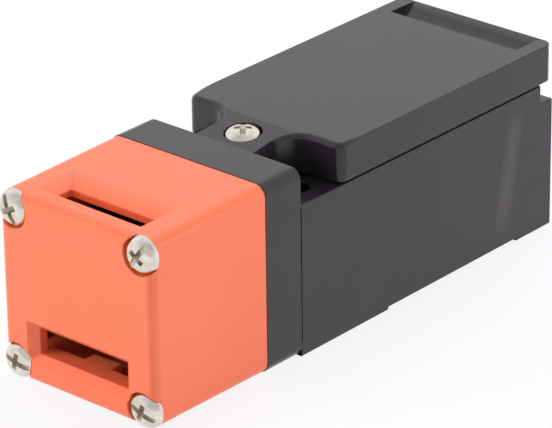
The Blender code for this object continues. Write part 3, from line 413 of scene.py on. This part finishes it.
# %% [markdown]
# Weighted normals let the large faces stay flat under the bevels, so that only the bevels turn the light.
# Where an edge must move first, to close a joint for instance, the copy's points are adjusted before the
# bevel, which then follows them.

# %% Rounded edges
SHARP = math.radians(40)                    # an edge that turns more than this is rounded


def round_edges(piece, radius):
    """Bevel every sharp edge and let only the bevels turn the light."""
    piece.data.shade_smooth()
    bevel = piece.modifiers.new("edges", "BEVEL")
    bevel.width = radius
    bevel.segments = 2
    bevel.limit_method = "ANGLE"
    bevel.angle_limit = SHARP
    bevel.use_clamp_overlap = False
    normals = piece.modifiers.new("normals", "WEIGHTED_NORMAL")
    normals.weight = 100
    return plain_mesh(piece, bevel, normals)


def soften(node, name, radius, adjust=None):
    """Copy a node with every sharp edge rounded; `adjust` may move the copy's points first."""
    mesh = merged_copy(node)
    for point in mesh.vertices if adjust else ():
        point.co = adjust(point.co.copy())
    return dress(round_edges(add_object(name, mesh), radius), node)


print("edges are rounded past", round(math.degrees(SHARP)), "degrees")

# %% [markdown]
# Mouldings have edges of about a tenth of a millimetre, and stamped strips half of that. On the real switch
# the head is screwed down on the collar with no gap, and the top slot's rear wall starts a little lower, so
# the head's copy has those points moved before its edges are rounded.

# %% Mouldings, stampings and seals
EDGES = {
    "head_housing": ("head_moulding", 0.12), "body_housing": ("body_moulding", 0.12),
    "terminal_cover": ("cover_moulding", 0.12), "cam_carrier": ("carrier_moulding", 0.1),
    "contact_base": ("base_moulding", 0.1), "contact_carriage": ("carriage_moulding", 0.1),
    "plunger": ("plunger_rod", 0.06),
    "cam_axle": ("axle_pin", 0.1), "cover_gasket": ("gasket_ring", 0.15),
    "plunger_seal": ("plunger_lip_seal", 0.06), "head_seal": ("head_ring_seal", 0.04),
}
EDGES.update({f"terminal_{i}": (f"terminal_strip_{i}", 0.06) for i in range(1, 5)})
EDGES.update({f"terminal_clamp_{i}": (f"clamp_plate_{i}", 0.06) for i in range(1, 5)})
EDGES.update({f"contact_bridge_{i}": (f"bridge_strip_{i}", 0.06) for i in (1, 2)})
HEAD_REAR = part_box("head_housing")[1].y
HEAD_GAP = 0.38 * MM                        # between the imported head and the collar
THROAT_Y, THROAT_Z = -37.2 * MM, 27.9 * MM  # upper rear edge of the top slot's throat
THROAT_DROP = 0.4 * MM
NEAR = 0.1 * MM


def fit_head(place):
    """Close the joint to the collar, and lower the edge where the top slot's rear wall starts."""
    if place.y > HEAD_REAR - NEAR / 10:
        place.y += HEAD_GAP
    elif abs(place.y - THROAT_Y) < NEAR and abs(place.z - THROAT_Z) < NEAR:
        place.z -= THROAT_DROP
    return place


for node, (name, radius) in EDGES.items():
    piece = soften(node, name, radius * MM, adjust=fit_head if node == "head_housing" else None)
    print(name, len(piece.data.polygons), "faces")

# %% [markdown]
# Springs, threads and screws are rules more than shapes: a wire that climbs evenly, a ridge that winds round
# a rod, a domed head with a drive cut in it. Geometry Nodes state such a rule once, with its sizes as named
# inputs, and each use only fills in the sizes.

# %% Trees with named inputs
SOCKETS = {"number": "NodeSocketFloat", "count": "NodeSocketInt", "vector": "NodeSocketVector",
           "material": "NodeSocketMaterial", "shape": "NodeSocketGeometry"}


def new_rule(name, **inputs):
    """A Geometry Nodes tree; returns its graph and its inputs as sockets, by name."""
    tree = bpy.data.node_groups.new(name, "GeometryNodeTree")
    for label, kind in inputs.items():
        tree.interface.new_socket(name=label, in_out="INPUT", socket_type=SOCKETS[kind])
    tree.interface.new_socket(name="shape", in_out="OUTPUT", socket_type=SOCKETS["shape"])
    graph = Graph(tree)
    start = tree.nodes.new("NodeGroupInput")
    return graph, {label: Socket(graph, start.outputs[label]) for label in inputs}


def finish_rule(graph, shape, material=None):
    """End a tree: a tree with a material input is one that makes a whole piece."""
    if material is not None:
        shape = graph.node("GeometryNodeRealizeInstances", inputs={0: shape})
        shape = graph.node("GeometryNodeSetMaterial", inputs={"Geometry": shape, "Material": material})
    end = graph.tree.nodes.new("NodeGroupOutput")
    graph.tree.links.new(shape.socket, end.inputs[0])
    return graph.tree


print("kinds of input:", sorted(SOCKETS))

# %% [markdown]
# A tree runs on an empty mesh, or on a mesh of loose points where it makes one copy at each. Its inputs are
# set by identifier before it first runs. The result is kept as a plain mesh with one material, so nothing
# live is left on the piece.

# %% Grow a piece from its tree
SMOOTH = math.radians(35)                   # edges that turn less than this are shaded smooth


def grow(name, tree, mesh=None, **sizes):
    """Run a tree with its sizes filled in and keep what it makes as a plain mesh of one material."""
    piece = add_object(name, mesh or bpy.data.meshes.new(name))
    modifier = piece.modifiers.new("rule", "NODES")
    modifier.node_group = tree
    for item in tree.interface.items_tree:
        if item.in_out == "INPUT" and item.name in sizes:
            modifier[item.identifier] = sizes[item.name]
    mesh = plain_mesh(piece, modifier).data
    mesh.materials.clear()
    mesh.materials.append(sizes["material"])
    mesh.polygons.foreach_set("material_index", [0] * len(mesh.polygons))
    mesh.shade_smooth()
    mesh.set_sharp_from_angle(angle=SMOOTH)
    return piece


print("pieces can be grown")

# %% [markdown]
# A helical compression spring is a round wire that climbs one pitch each turn. The Spiral primitive gives
# the centreline and Curve to Mesh sweeps a circle along it. A thread is the same idea with a three-sided
# section, so both come from one tree: the number of sides is an input.

# %% A wire that winds round the Z axis
graph, size = new_rule("wound_wire", radius="number", wire="number", length="number", turns="number",
                       sides="count", steps="count")
line = graph.node("GeometryNodeCurveSpiral", inputs={
    "Resolution": size["steps"], "Rotations": size["turns"], "Start Radius": size["radius"],
    "End Radius": size["radius"], "Height": size["length"]})
section = graph.node("GeometryNodeCurvePrimitiveCircle", inputs={
    "Resolution": size["sides"], "Radius": size["wire"]})
WOUND_WIRE = finish_rule(graph, graph.node("GeometryNodeCurveToMesh", inputs={
    "Curve": line, "Profile Curve": section, "Fill Caps": True}))


def wound(graph, **sizes):
    """Use the wound wire inside another tree."""
    return graph.node("GeometryNodeGroup", {"node_tree": WOUND_WIRE}, sizes)


def moved(graph, shape, place, turn=(0, 0, 0)):
    """Turn a shape inside a tree and then move it."""
    return graph.node("GeometryNodeTransform", inputs={
        "Geometry": shape, "Rotation": turn, "Translation": place})


print("wound wire:", len(WOUND_WIRE.nodes), "nodes")

# %% [markdown]
# The return spring pushes the plunger against the cam, and each contact bridge has a small spring that
# presses it on its contacts. All three lie along the switch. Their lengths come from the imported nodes, and
# only the wire, the coil and the number of turns are chosen.

# %% Springs
ALONG_Y = (math.pi / 2, 0, 0)               # turns what points up towards the key head
graph, size = new_rule("coil_spring", radius="number", wire="number", length="number", turns="number",
                       centre="vector", material="material")
coil = wound(graph, radius=size["radius"], wire=size["wire"], length=size["length"] - size["wire"] * 2,
             turns=size["turns"], sides=12, steps=28)
coil = moved(graph, coil, graph.xyz(z=size["wire"] - size["length"] * 0.5))
COIL_SPRING = finish_rule(graph, moved(graph, coil, size["centre"], ALONG_Y), size["material"])

# the coil's and the wire's radius in millimetres, and the turns
SPRINGS = {"return_spring": (2.0, 0.25, 5.0), "contact_spring_1": (1.1, 0.2, 2.5),
           "contact_spring_2": (1.1, 0.2, 2.5)}
for node, (radius, thickness, turns) in SPRINGS.items():
    low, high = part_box(node)
    spring = grow(f"{node}_wire", COIL_SPRING, radius=radius * MM, wire=thickness * MM,
                  length=high.y - low.y, turns=turns, centre=(low + high) / 2,
                  material=FINISH["spring_steel"])
    dress(spring, node)
    print(spring.name, len(spring.data.polygons), "faces")

# %% [markdown]
# The five visible screws are pan heads. The dome follows a superellipse, which stays steep at the rim and
# almost flat on top, as a pressed head is. It starts as a sphere whose points are moved by that rule, so it
# is closed from the first step: the lower half becomes its flat underside.

# %% The dome of a pan screw
STEEP, CROWNED = 0.66, 0.95                 # powers of the superellipse, across and up
graph, size = new_rule(
    "pan_screw", seats="shape", rotation="vector", head_radius="number", head_height="number",
    shank_radius="number", shank_length="number", pitch="number", arm="number", width="number",
    depth="number", slot_depth="number", material="material")
ball = graph.node("GeometryNodeMeshUVSphere", inputs={"Segments": 48, "Rings": 32, "Radius": 1.0})
spot = graph.node("GeometryNodeInputPosition")
part = graph.node("ShaderNodeSeparateXYZ", inputs={0: spot})
level = graph.node("ShaderNodeVectorMath", {"operation": "MULTIPLY"}, {0: spot, 1: (1, 1, 0)})
outward = graph.node("ShaderNodeVectorMath", {"operation": "NORMALIZE"}, {0: level})
reach = graph.node("ShaderNodeVectorMath", {"operation": "LENGTH"}, {0: level}, output="Value")
rise = part.output("Z").math("MAXIMUM", part.output("Z"), 0.0)
side = graph.node("ShaderNodeVectorMath", {"operation": "SCALE"}, {
    0: outward, "Scale": size["head_radius"] * reach ** STEEP})
lifted = graph.node("ShaderNodeVectorMath", {"operation": "ADD"}, {
    0: side, 1: graph.xyz(z=size["head_height"] * rise ** CROWNED)})
head = graph.node("GeometryNodeSetPosition", inputs={"Geometry": ball, "Position": lifted})
print("dome:", len(graph.tree.nodes), "nodes")

# %% [markdown]
# The drive takes a cross or a flat blade: a tapered cross with one arm run out to the rim. Booleans cut it,
# because its walls meet the dome along curves that no simple outline gives. Each cutter carries the number 1
# on its faces, which the Boolean hands on to the walls that it leaves, so the metal knows where the drive is.

# %% The drive, cut into the dome
FLOOR_ARM, ARM_GROWS = 0.35, 0.9            # shares of the arm at the floor, and added up to the top
FLOOR_WIDTH, WIDTH_GROWS = 0.8, 0.25
OVERRUN = 0.25                              # share of the depth by which a cutter stands above the dome
SLOT_REACH = 1.75                           # the slot's length as a share of the head's radius


def wing(graph, size, long_axis):
    """One arm pair of the cross: a box from above the dome down to the floor of the drive, narrower below."""
    block = graph.node("GeometryNodeMeshCube", inputs={"Size": (1, 1, 1)})
    part = graph.node("ShaderNodeSeparateXYZ", inputs={0: graph.node("GeometryNodeInputPosition")})
    share = part.output("Z") + 0.5
    long = size["arm"] * (share * ARM_GROWS + FLOOR_ARM)
    short = size["width"] * (share * WIDTH_GROWS + FLOOR_WIDTH)
    across = part.output("X") * (long if long_axis == 0 else short)
    along = part.output("Y") * (long if long_axis == 1 else short)
    height = size["head_height"] - size["depth"] * (1 - share) + size["depth"] * OVERRUN * share
    return graph.node("GeometryNodeSetPosition", inputs={
        "Geometry": block, "Position": graph.xyz(across, along, height)})


slot = graph.node("GeometryNodeMeshCube", inputs={
    "Size": graph.xyz(size["head_radius"] * SLOT_REACH, size["width"], size["slot_depth"] * 2)})
slot = moved(graph, slot, graph.xyz(z=size["head_height"]))
for cutter in (wing(graph, size, 0), wing(graph, size, 1), slot):
    marked = graph.node("GeometryNodeStoreNamedAttribute", {"data_type": "FLOAT", "domain": "FACE"}, {
        "Geometry": cutter, "Name": "drive", "Value": 1.0})
    head = graph.node("GeometryNodeMeshBoolean", {"operation": "DIFFERENCE", "solver": "EXACT"}, {
        "Mesh 1": head, "Mesh 2": marked})
print("dome and drive:", len(graph.tree.nodes), "nodes")

# %% [markdown]
# Below the head are a plain rod and the thread, which is the wound wire with three sides, sunk a little into
# the rod. One tree makes every screw at the points it is given, and each point says at what angle the
# fitter's screwdriver left its screw.

# %% Shank, thread and one screw at each seat
THREADED, THREAD_END = 0.6, 0.95            # shares of the shank: the thread's length and its far end
RIDGE, BEDDED = 0.3, 0.2                    # shares of the pitch: the ridge's radius and its sinking
shank = graph.node("GeometryNodeMeshCylinder", inputs={
    "Vertices": 32, "Radius": size["shank_radius"], "Depth": size["shank_length"]})
shank = moved(graph, shank, graph.xyz(z=size["shank_length"] * -0.5))
ridge = wound(graph, radius=size["shank_radius"] - size["pitch"] * BEDDED, wire=size["pitch"] * RIDGE,
              length=size["shank_length"] * THREADED,
              turns=size["shank_length"] * THREADED / size["pitch"], sides=3, steps=24)
ridge = moved(graph, ridge, graph.xyz(z=size["shank_length"] * -THREAD_END))
screw = graph.node("GeometryNodeJoinGeometry", inputs={0: [head, shank, ridge]})
turn = graph.node("GeometryNodeInputNamedAttribute", {"data_type": "FLOAT"}, {"Name": "turn"})
spun = graph.node("FunctionNodeRotateEuler", {"space": "LOCAL"}, {
    "Rotation": size["rotation"], "Rotate By": graph.xyz(z=turn)})
copies = graph.node("GeometryNodeInstanceOnPoints", inputs={
    "Points": size["seats"], "Instance": screw, "Rotation": spun})
PAN_SCREW = finish_rule(graph, copies, size["material"])
print("pan screw tree:", len(PAN_SCREW.nodes), "nodes")

# %% [markdown]
# Four screws hold the head and one the cover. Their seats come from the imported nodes, and a tightened head
# has bedded a little into the plastic. The drives stand at the angles that the picture shows, no two alike.

# %% Screws of the head and the cover
SEAT = 1.9 * MM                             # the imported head's top to its seat
SUNK = 0.3 * MM                             # how far a tightened head has bedded in
TURNS = {(-1, 1): 115, (1, 1): 54, (-1, -1): 166, (1, -1): 161}     # degrees, by side and height
COVER_TURN = -49.5                          # degrees
MID_HEIGHT = 15 * MM                        # parts the upper head screws from the lower ones
PAN = {"head_height": 1.78 * MM, "head_radius": 2.84 * MM, "shank_radius": 1.35 * MM, "pitch": 0.5 * MM,
       "arm": 2.6 * MM, "width": 0.85 * MM, "depth": 1.3 * MM, "slot_depth": 0.65 * MM,
       "material": FINISH["nickel_steel"]}


def seats(name, places, turns):
    """A mesh of loose points, each with the angle that its screw was left at."""
    mesh = bpy.data.meshes.new(name)
    mesh.from_pydata(places, [], [])
    angles = [math.radians(turn) for turn in turns]
    mesh.attributes.new("turn", "FLOAT", "POINT").data.foreach_set("value", angles)
    return mesh


head_nodes = [f"head_screw_{i}" for i in range(1, 5)]
places, turns = [], []
for node in head_nodes:
    low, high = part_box(node)
    middle = (low + high) / 2
    places.append((middle.x, low.y + SEAT + SUNK, middle.z))
    turns.append(TURNS[1 if middle.x > 0 else -1, 1 if middle.z > MID_HEIGHT else -1])
low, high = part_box(head_nodes[0])
screws = grow("head_screws", PAN_SCREW, seats("head_seats", places, turns), rotation=ALONG_Y,
              shank_length=high.y - low.y - SEAT, **PAN)
dress(screws, *head_nodes)
low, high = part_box("cover_screw")
place = ((low.x + high.x) / 2, (low.y + high.y) / 2, high.z - SEAT)
screw = grow("cover_screw_driven", PAN_SCREW, seats("cover_seat", [place], [COVER_TURN]),
             rotation=(0, 0, 0), shank_length=high.z - low.z - SEAT, **PAN)
dress(screw, "cover_screw")
print("screws:", len(screws.data.polygons), "and", len(screw.data.polygons), "faces")

# %% [markdown]
# The terminal screws are the same rule with other sizes: a lower head and a shank that reaches down into the
# contact block. One call makes all four, because every size is an input of the tree.

# %% Terminal screws
TERMINAL_HEAD = 1.5 * MM
TERMINAL_TURNS = (8, 95, 40, 150)           # degrees
nodes = [f"terminal_screw_{i}" for i in range(1, 5)]
places = []
for node in nodes:
    low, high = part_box(node)
    places.append(((low.x + high.x) / 2, (low.y + high.y) / 2, high.z - TERMINAL_HEAD))
screws = grow("terminal_screws", PAN_SCREW, seats("terminal_seats", places, TERMINAL_TURNS),
              rotation=(0, 0, 0), head_radius=(high.x - low.x) / 2, head_height=TERMINAL_HEAD,
              shank_radius=1.12 * MM, shank_length=high.z - low.z - TERMINAL_HEAD, pitch=0.45 * MM,
              arm=2.2 * MM, width=0.7 * MM, depth=1.0 * MM, slot_depth=0.55 * MM,
              material=FINISH["zinc_steel"])
dress(screws, *nodes)
print("terminal screws:", len(screws.data.polygons), "faces")

# %% [markdown]
# The cable port is tapped for a 20 mm gland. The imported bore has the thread's core size, so the thread shows
# as a low ridge that winds inside it, one and a half millimetres a turn. It is the wound wire once more.

# %% Thread of the cable port
PORT_RADIUS, PORT_Z, PORT_DEPTH = 9.2 * MM, 11.0 * MM, 6.0 * MM
PORT_PITCH, PORT_RIDGE, PORT_LEAD = 1.5 * MM, 0.28, 0.7 * MM    # the ridge is a share of the pitch
graph, size = new_rule("port_thread", radius="number", pitch="number", length="number", centre="vector",
                       material="material")
ridge = wound(graph, radius=size["radius"], wire=size["pitch"] * PORT_RIDGE, length=size["length"],
              turns=size["length"] / size["pitch"], sides=3, steps=64)
PORT_THREAD = finish_rule(graph, moved(graph, ridge, size["centre"], ALONG_Y), size["material"])
thread = grow("port_thread", PORT_THREAD, radius=PORT_RADIUS + 0.1 * MM, pitch=PORT_PITCH,
              length=PORT_DEPTH, centre=(0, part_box("body_housing")[1].y - PORT_LEAD, PORT_Z),
              material=FINISH["black_plastic"])
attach(thread, "housing")
print("port thread:", len(thread.data.polygons), "faces")

# %% [markdown]
# The cam is the piece whose shape is a rule. Over its whole turn it lets a round-tipped plunger move evenly,
# so the tip's centre follows a spiral, and the cam is that spiral moved inwards by the tip's radius and a
# small gap. A heel of constant radius and a short nose close the curve. Each of the outline's points works
# out its own place from its number.

# %% The cam's outline as a rule
ON_SPIRAL, ON_HEEL, ON_NOSE = 40, 16, 4     # points on each stretch
SPAN, LEAD = 24 / 22, 0.05                  # the spiral runs a little past both ends of the swing
HEEL_START, HEEL_TURN = -120, -160          # degrees
NOSE_START, NOSE_TURN = 30, -8
graph, size = new_rule(
    "key_cam", rest_radius="number", end_radius="number", swing="number", reach="number",
    half_width="number", drum_radius="number", drum_half="number", notch_flank="number",
    front_notch="number", top_notch="number", bore="number", centre="vector", material="material")
count = ON_SPIRAL + ON_HEEL + ON_NOSE
step = (count - 1) - graph.node("GeometryNodeInputIndex")
turned = size["swing"] * (step * (SPAN / (ON_SPIRAL - 1)) - LEAD)
slope = (size["rest_radius"] - size["end_radius"]) / size["swing"]
tip = size["rest_radius"] + size["reach"] - slope * turned
inwards = size["reach"] / (tip * tip + slope * slope) ** 0.5
out, along = tip - tip * inwards, slope * inwards
cosine, sine = turned.math("COSINE", turned), turned.math("SINE", turned)
spiral = (out * cosine + along * sine, along * cosine - out * sine)
heel_angle = (step - ON_SPIRAL) * math.radians(HEEL_TURN / (ON_HEEL - 1)) + math.radians(HEEL_START)
nose_angle = ((step - (ON_SPIRAL + ON_HEEL)) * math.radians(NOSE_TURN / (ON_NOSE - 1))
              + math.radians(NOSE_START))
on_heel = step.math("LESS_THAN", step, ON_SPIRAL + ON_HEEL - 0.5)
angle = heel_angle * on_heel + nose_angle * (1 - on_heel)
radius = size["end_radius"] * on_heel + size["rest_radius"] * (1 - on_heel)
arc = (radius * angle.math("COSINE", angle), radius * angle.math("SINE", angle))
on_spiral = step.math("LESS_THAN", step, ON_SPIRAL - 0.5)
y, z = (a * on_spiral + b * (1 - on_spiral) for a, b in zip(spiral, arc))
print("cam outline:", count, "points,", len(graph.tree.nodes), "nodes")

# %% [markdown]
# A filled circle with as many points takes that outline. Its face is extruded, and the same face turned
# round closes the plate. Two drums on the cam's shaft carry the key's load, and blocks cut the notches that
# the key's bar enters, one for each slot of the head. A bore takes the pin.


# %% Plate, drums, notches and bore
def block_between(graph, low, high):
    """A block between two corners, each given as numbers or sockets."""
    middle = [(a + b) * 0.5 for a, b in zip(low, high)]
    edges = graph.xyz(*(b - a for a, b in zip(low, high)))
    return moved(graph, graph.node("GeometryNodeMeshCube", inputs={"Size": edges}), graph.xyz(*middle))


def round_bar(graph, radius, length, middle, sides=64):
    """A cylinder along X."""
    bar = graph.node("GeometryNodeMeshCylinder", inputs={
        "Vertices": sides, "Radius": radius, "Depth": length})
    return moved(graph, bar, graph.xyz(x=middle), (0, math.pi / 2, 0))


disc = graph.node("GeometryNodeMeshCircle", {"fill_type": "NGON"}, {"Vertices": count, "Radius": 1.0})
face = graph.node("GeometryNodeSetPosition", inputs={
    "Geometry": disc, "Position": graph.xyz(size["half_width"] * -1.0, y, z)})
raised = graph.node("GeometryNodeExtrudeMesh", {"mode": "FACES"}, {
    "Mesh": face, "Offset": (1, 0, 0), "Offset Scale": size["half_width"] * 2, "Individual": False})
back = graph.node("GeometryNodeFlipFaces", inputs={0: face})
plate = graph.node("GeometryNodeMergeByDistance", inputs={
    "Geometry": graph.node("GeometryNodeJoinGeometry", inputs={0: [raised, back]}), "Distance": 0.001 * MM})
OVERLAP = 0.3 * MM                          # how far a drum reaches into the plate
FAR = 20 * MM                               # past every side of the cam
inner = size["half_width"] - OVERLAP
drums = [round_bar(graph, size["drum_radius"], size["drum_half"] - inner,
                   (size["drum_half"] + inner) * (0.5 * side)) for side in (-1, 1)]
whole = graph.node("GeometryNodeMeshBoolean", {"operation": "UNION", "solver": "EXACT"}, {
    "Mesh 2": [plate] + drums})
front = block_between(graph, (-FAR, -FAR, -FAR), (FAR, size["notch_flank"] * -1.0, size["front_notch"]))
top = block_between(graph, (-FAR, -FAR, size["notch_flank"]), (FAR, size["top_notch"], FAR))
pin = round_bar(graph, size["bore"], 2 * FAR, 0.0, sides=32)
whole = graph.node("GeometryNodeMeshBoolean", {"operation": "DIFFERENCE", "solver": "EXACT"}, {
    "Mesh 1": whole, "Mesh 2": [front, top, pin]})
KEY_CAM = finish_rule(graph, moved(graph, whole, size["centre"]), size["material"])
print("key cam tree:", len(KEY_CAM.nodes), "nodes")

# %% [markdown]
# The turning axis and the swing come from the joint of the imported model, and the drums' size from the packed
# cam, so the two always agree. The printed corners show it.

# %% The cam in its place
hinge = next(j for j in frame["record"]["behaviour"]["joints"] if j["name"] == "cam_turn")
axis = Vector(hinge["pos_m"])
low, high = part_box("cam_rotor")
cam = grow("cam_moulding", KEY_CAM, rest_radius=6.6 * MM, end_radius=3.1 * MM,
           swing=math.radians(hinge["range_deg"][1]), reach=1.3 * MM, half_width=2.6 * MM,
           drum_radius=high.y - axis.y, drum_half=high.x, notch_flank=3.0 * MM,
           front_notch=9.35 * MM - axis.z, top_notch=-36.95 * MM - axis.y, bore=1.55 * MM, centre=axis,
           material=FINISH["dark_plastic"])
dress(round_edges(cam, 0.1 * MM), "cam_rotor")
print("cam's low corner:", [round(c / MM, 2) for c in cam.bound_box[0]], "packed:", low / MM)

# %% [markdown]
# A pale floor in a white room, as in a product picture. The floor mixes its own pale surface with a white
# glow that only camera, gloss and glass rays see. It then looks white and is mirrored as white, but adds no
# light to the switch, and a soft shadow still shows on it.

# %% Floor
FLOOR_HALF, GLOW_SHARE = 3.0, 0.85


def seen_directly(graph):
    """1 for rays that come from the camera, from gloss or through glass."""
    path = graph.node("ShaderNodeLightPath")
    seen = path.output("Is Camera Ray") + path.output("Is Glossy Ray") + path.output("Is Transmission Ray")
    return seen.math("MINIMUM", seen, 1.0)


def floor_material():
    """Pale matt floor that the camera sees as almost white."""
    material, graph, shader, _ = new_material("floor")
    plug(graph, shader, Base_Color=(0.86, 0.86, 0.86, 1), Roughness=0.9)
    glow = graph.node("ShaderNodeEmission", inputs={"Color": (1, 1, 1, 1), "Strength": 1.0})
    surface = Socket(graph, shader.outputs[0])
    mixed = graph.node("ShaderNodeMixShader", inputs={
        0: seen_directly(graph) * GLOW_SHARE, 1: surface, 2: glow})
    graph.tree.links.new(mixed.socket, graph.tree.nodes["Material Output"].inputs["Surface"])
    return material


mesh = bpy.data.meshes.new("floor")
corners = [(x * FLOOR_HALF, y * FLOOR_HALF, 0) for x, y in ((-1, -1), (1, -1), (1, 1), (-1, 1))]
mesh.from_pydata(corners, [], [(0, 1, 2, 3)])
mesh.materials.append(floor_material())
floor = add_object("floor", mesh)
print("floor:", [2 * FLOOR_HALF] * 2, "m")

# %% [markdown]
# The room is plain white to the camera and dimmer as a lamp. In gloss, one side of it is darker: the dark
# plastic then mirrors less on the faces that look that way, as the black body does in the picture.

# %% Room
ROOM_LIGHT = 0.55                           # strength of the room as a lamp
DIM_SIDE, DIMMED = Vector((0.55, -0.62, 0.56)), 0.35
world = bpy.data.worlds.new("room")
SCENE.world = world
world.use_nodes = True
graph = Graph(world.node_tree)
towards = graph.node("ShaderNodeTexCoord").output("Generated")
facing = graph.node("ShaderNodeVectorMath", {"operation": "DOT_PRODUCT"}, {
    0: towards, 1: DIM_SIDE}, output="Value")
dim = spread(facing, 1.6) * graph.node("ShaderNodeLightPath").output("Is Glossy Ray")
strength = seen_directly(graph) * (1 - ROOM_LIGHT) + ROOM_LIGHT - dim * DIMMED
sky = world.node_tree.nodes["Background"]
sky.inputs["Color"].default_value = (1, 1, 1, 1)
graph.tree.links.new(strength.socket, sky.inputs["Strength"])
print("room:", len(world.node_tree.nodes), "nodes")

# %% [markdown]
# Three soft lamps give the faces their different tones: one high behind the switch lights the tops, one at
# the front left lights the head's face, and a weaker one at the right lights the long side. They stay out of
# the gloss, because a product picture shows no lamps in the plastic.


# %% Lamps
def softbox(name, place, width, watts):
    """A square area lamp that faces the switch."""
    lamp = bpy.data.lights.new(name, "AREA")
    lamp.size = width
    lamp.energy = watts
    obj = add_object(name, lamp)
    obj.location = place
    obj.rotation_euler = (Vector(place) - AIM).to_track_quat("Z", "Y").to_euler()
    obj.visible_glossy = False


softbox("lamp_behind", (-0.2, 0.65, 0.75), 0.6, 6.0)
softbox("lamp_left", (-0.66, -0.66, 0.3), 0.5, 6.5)
softbox("lamp_right", (0.75, 0.6, 0.25), 0.5, 4.3)
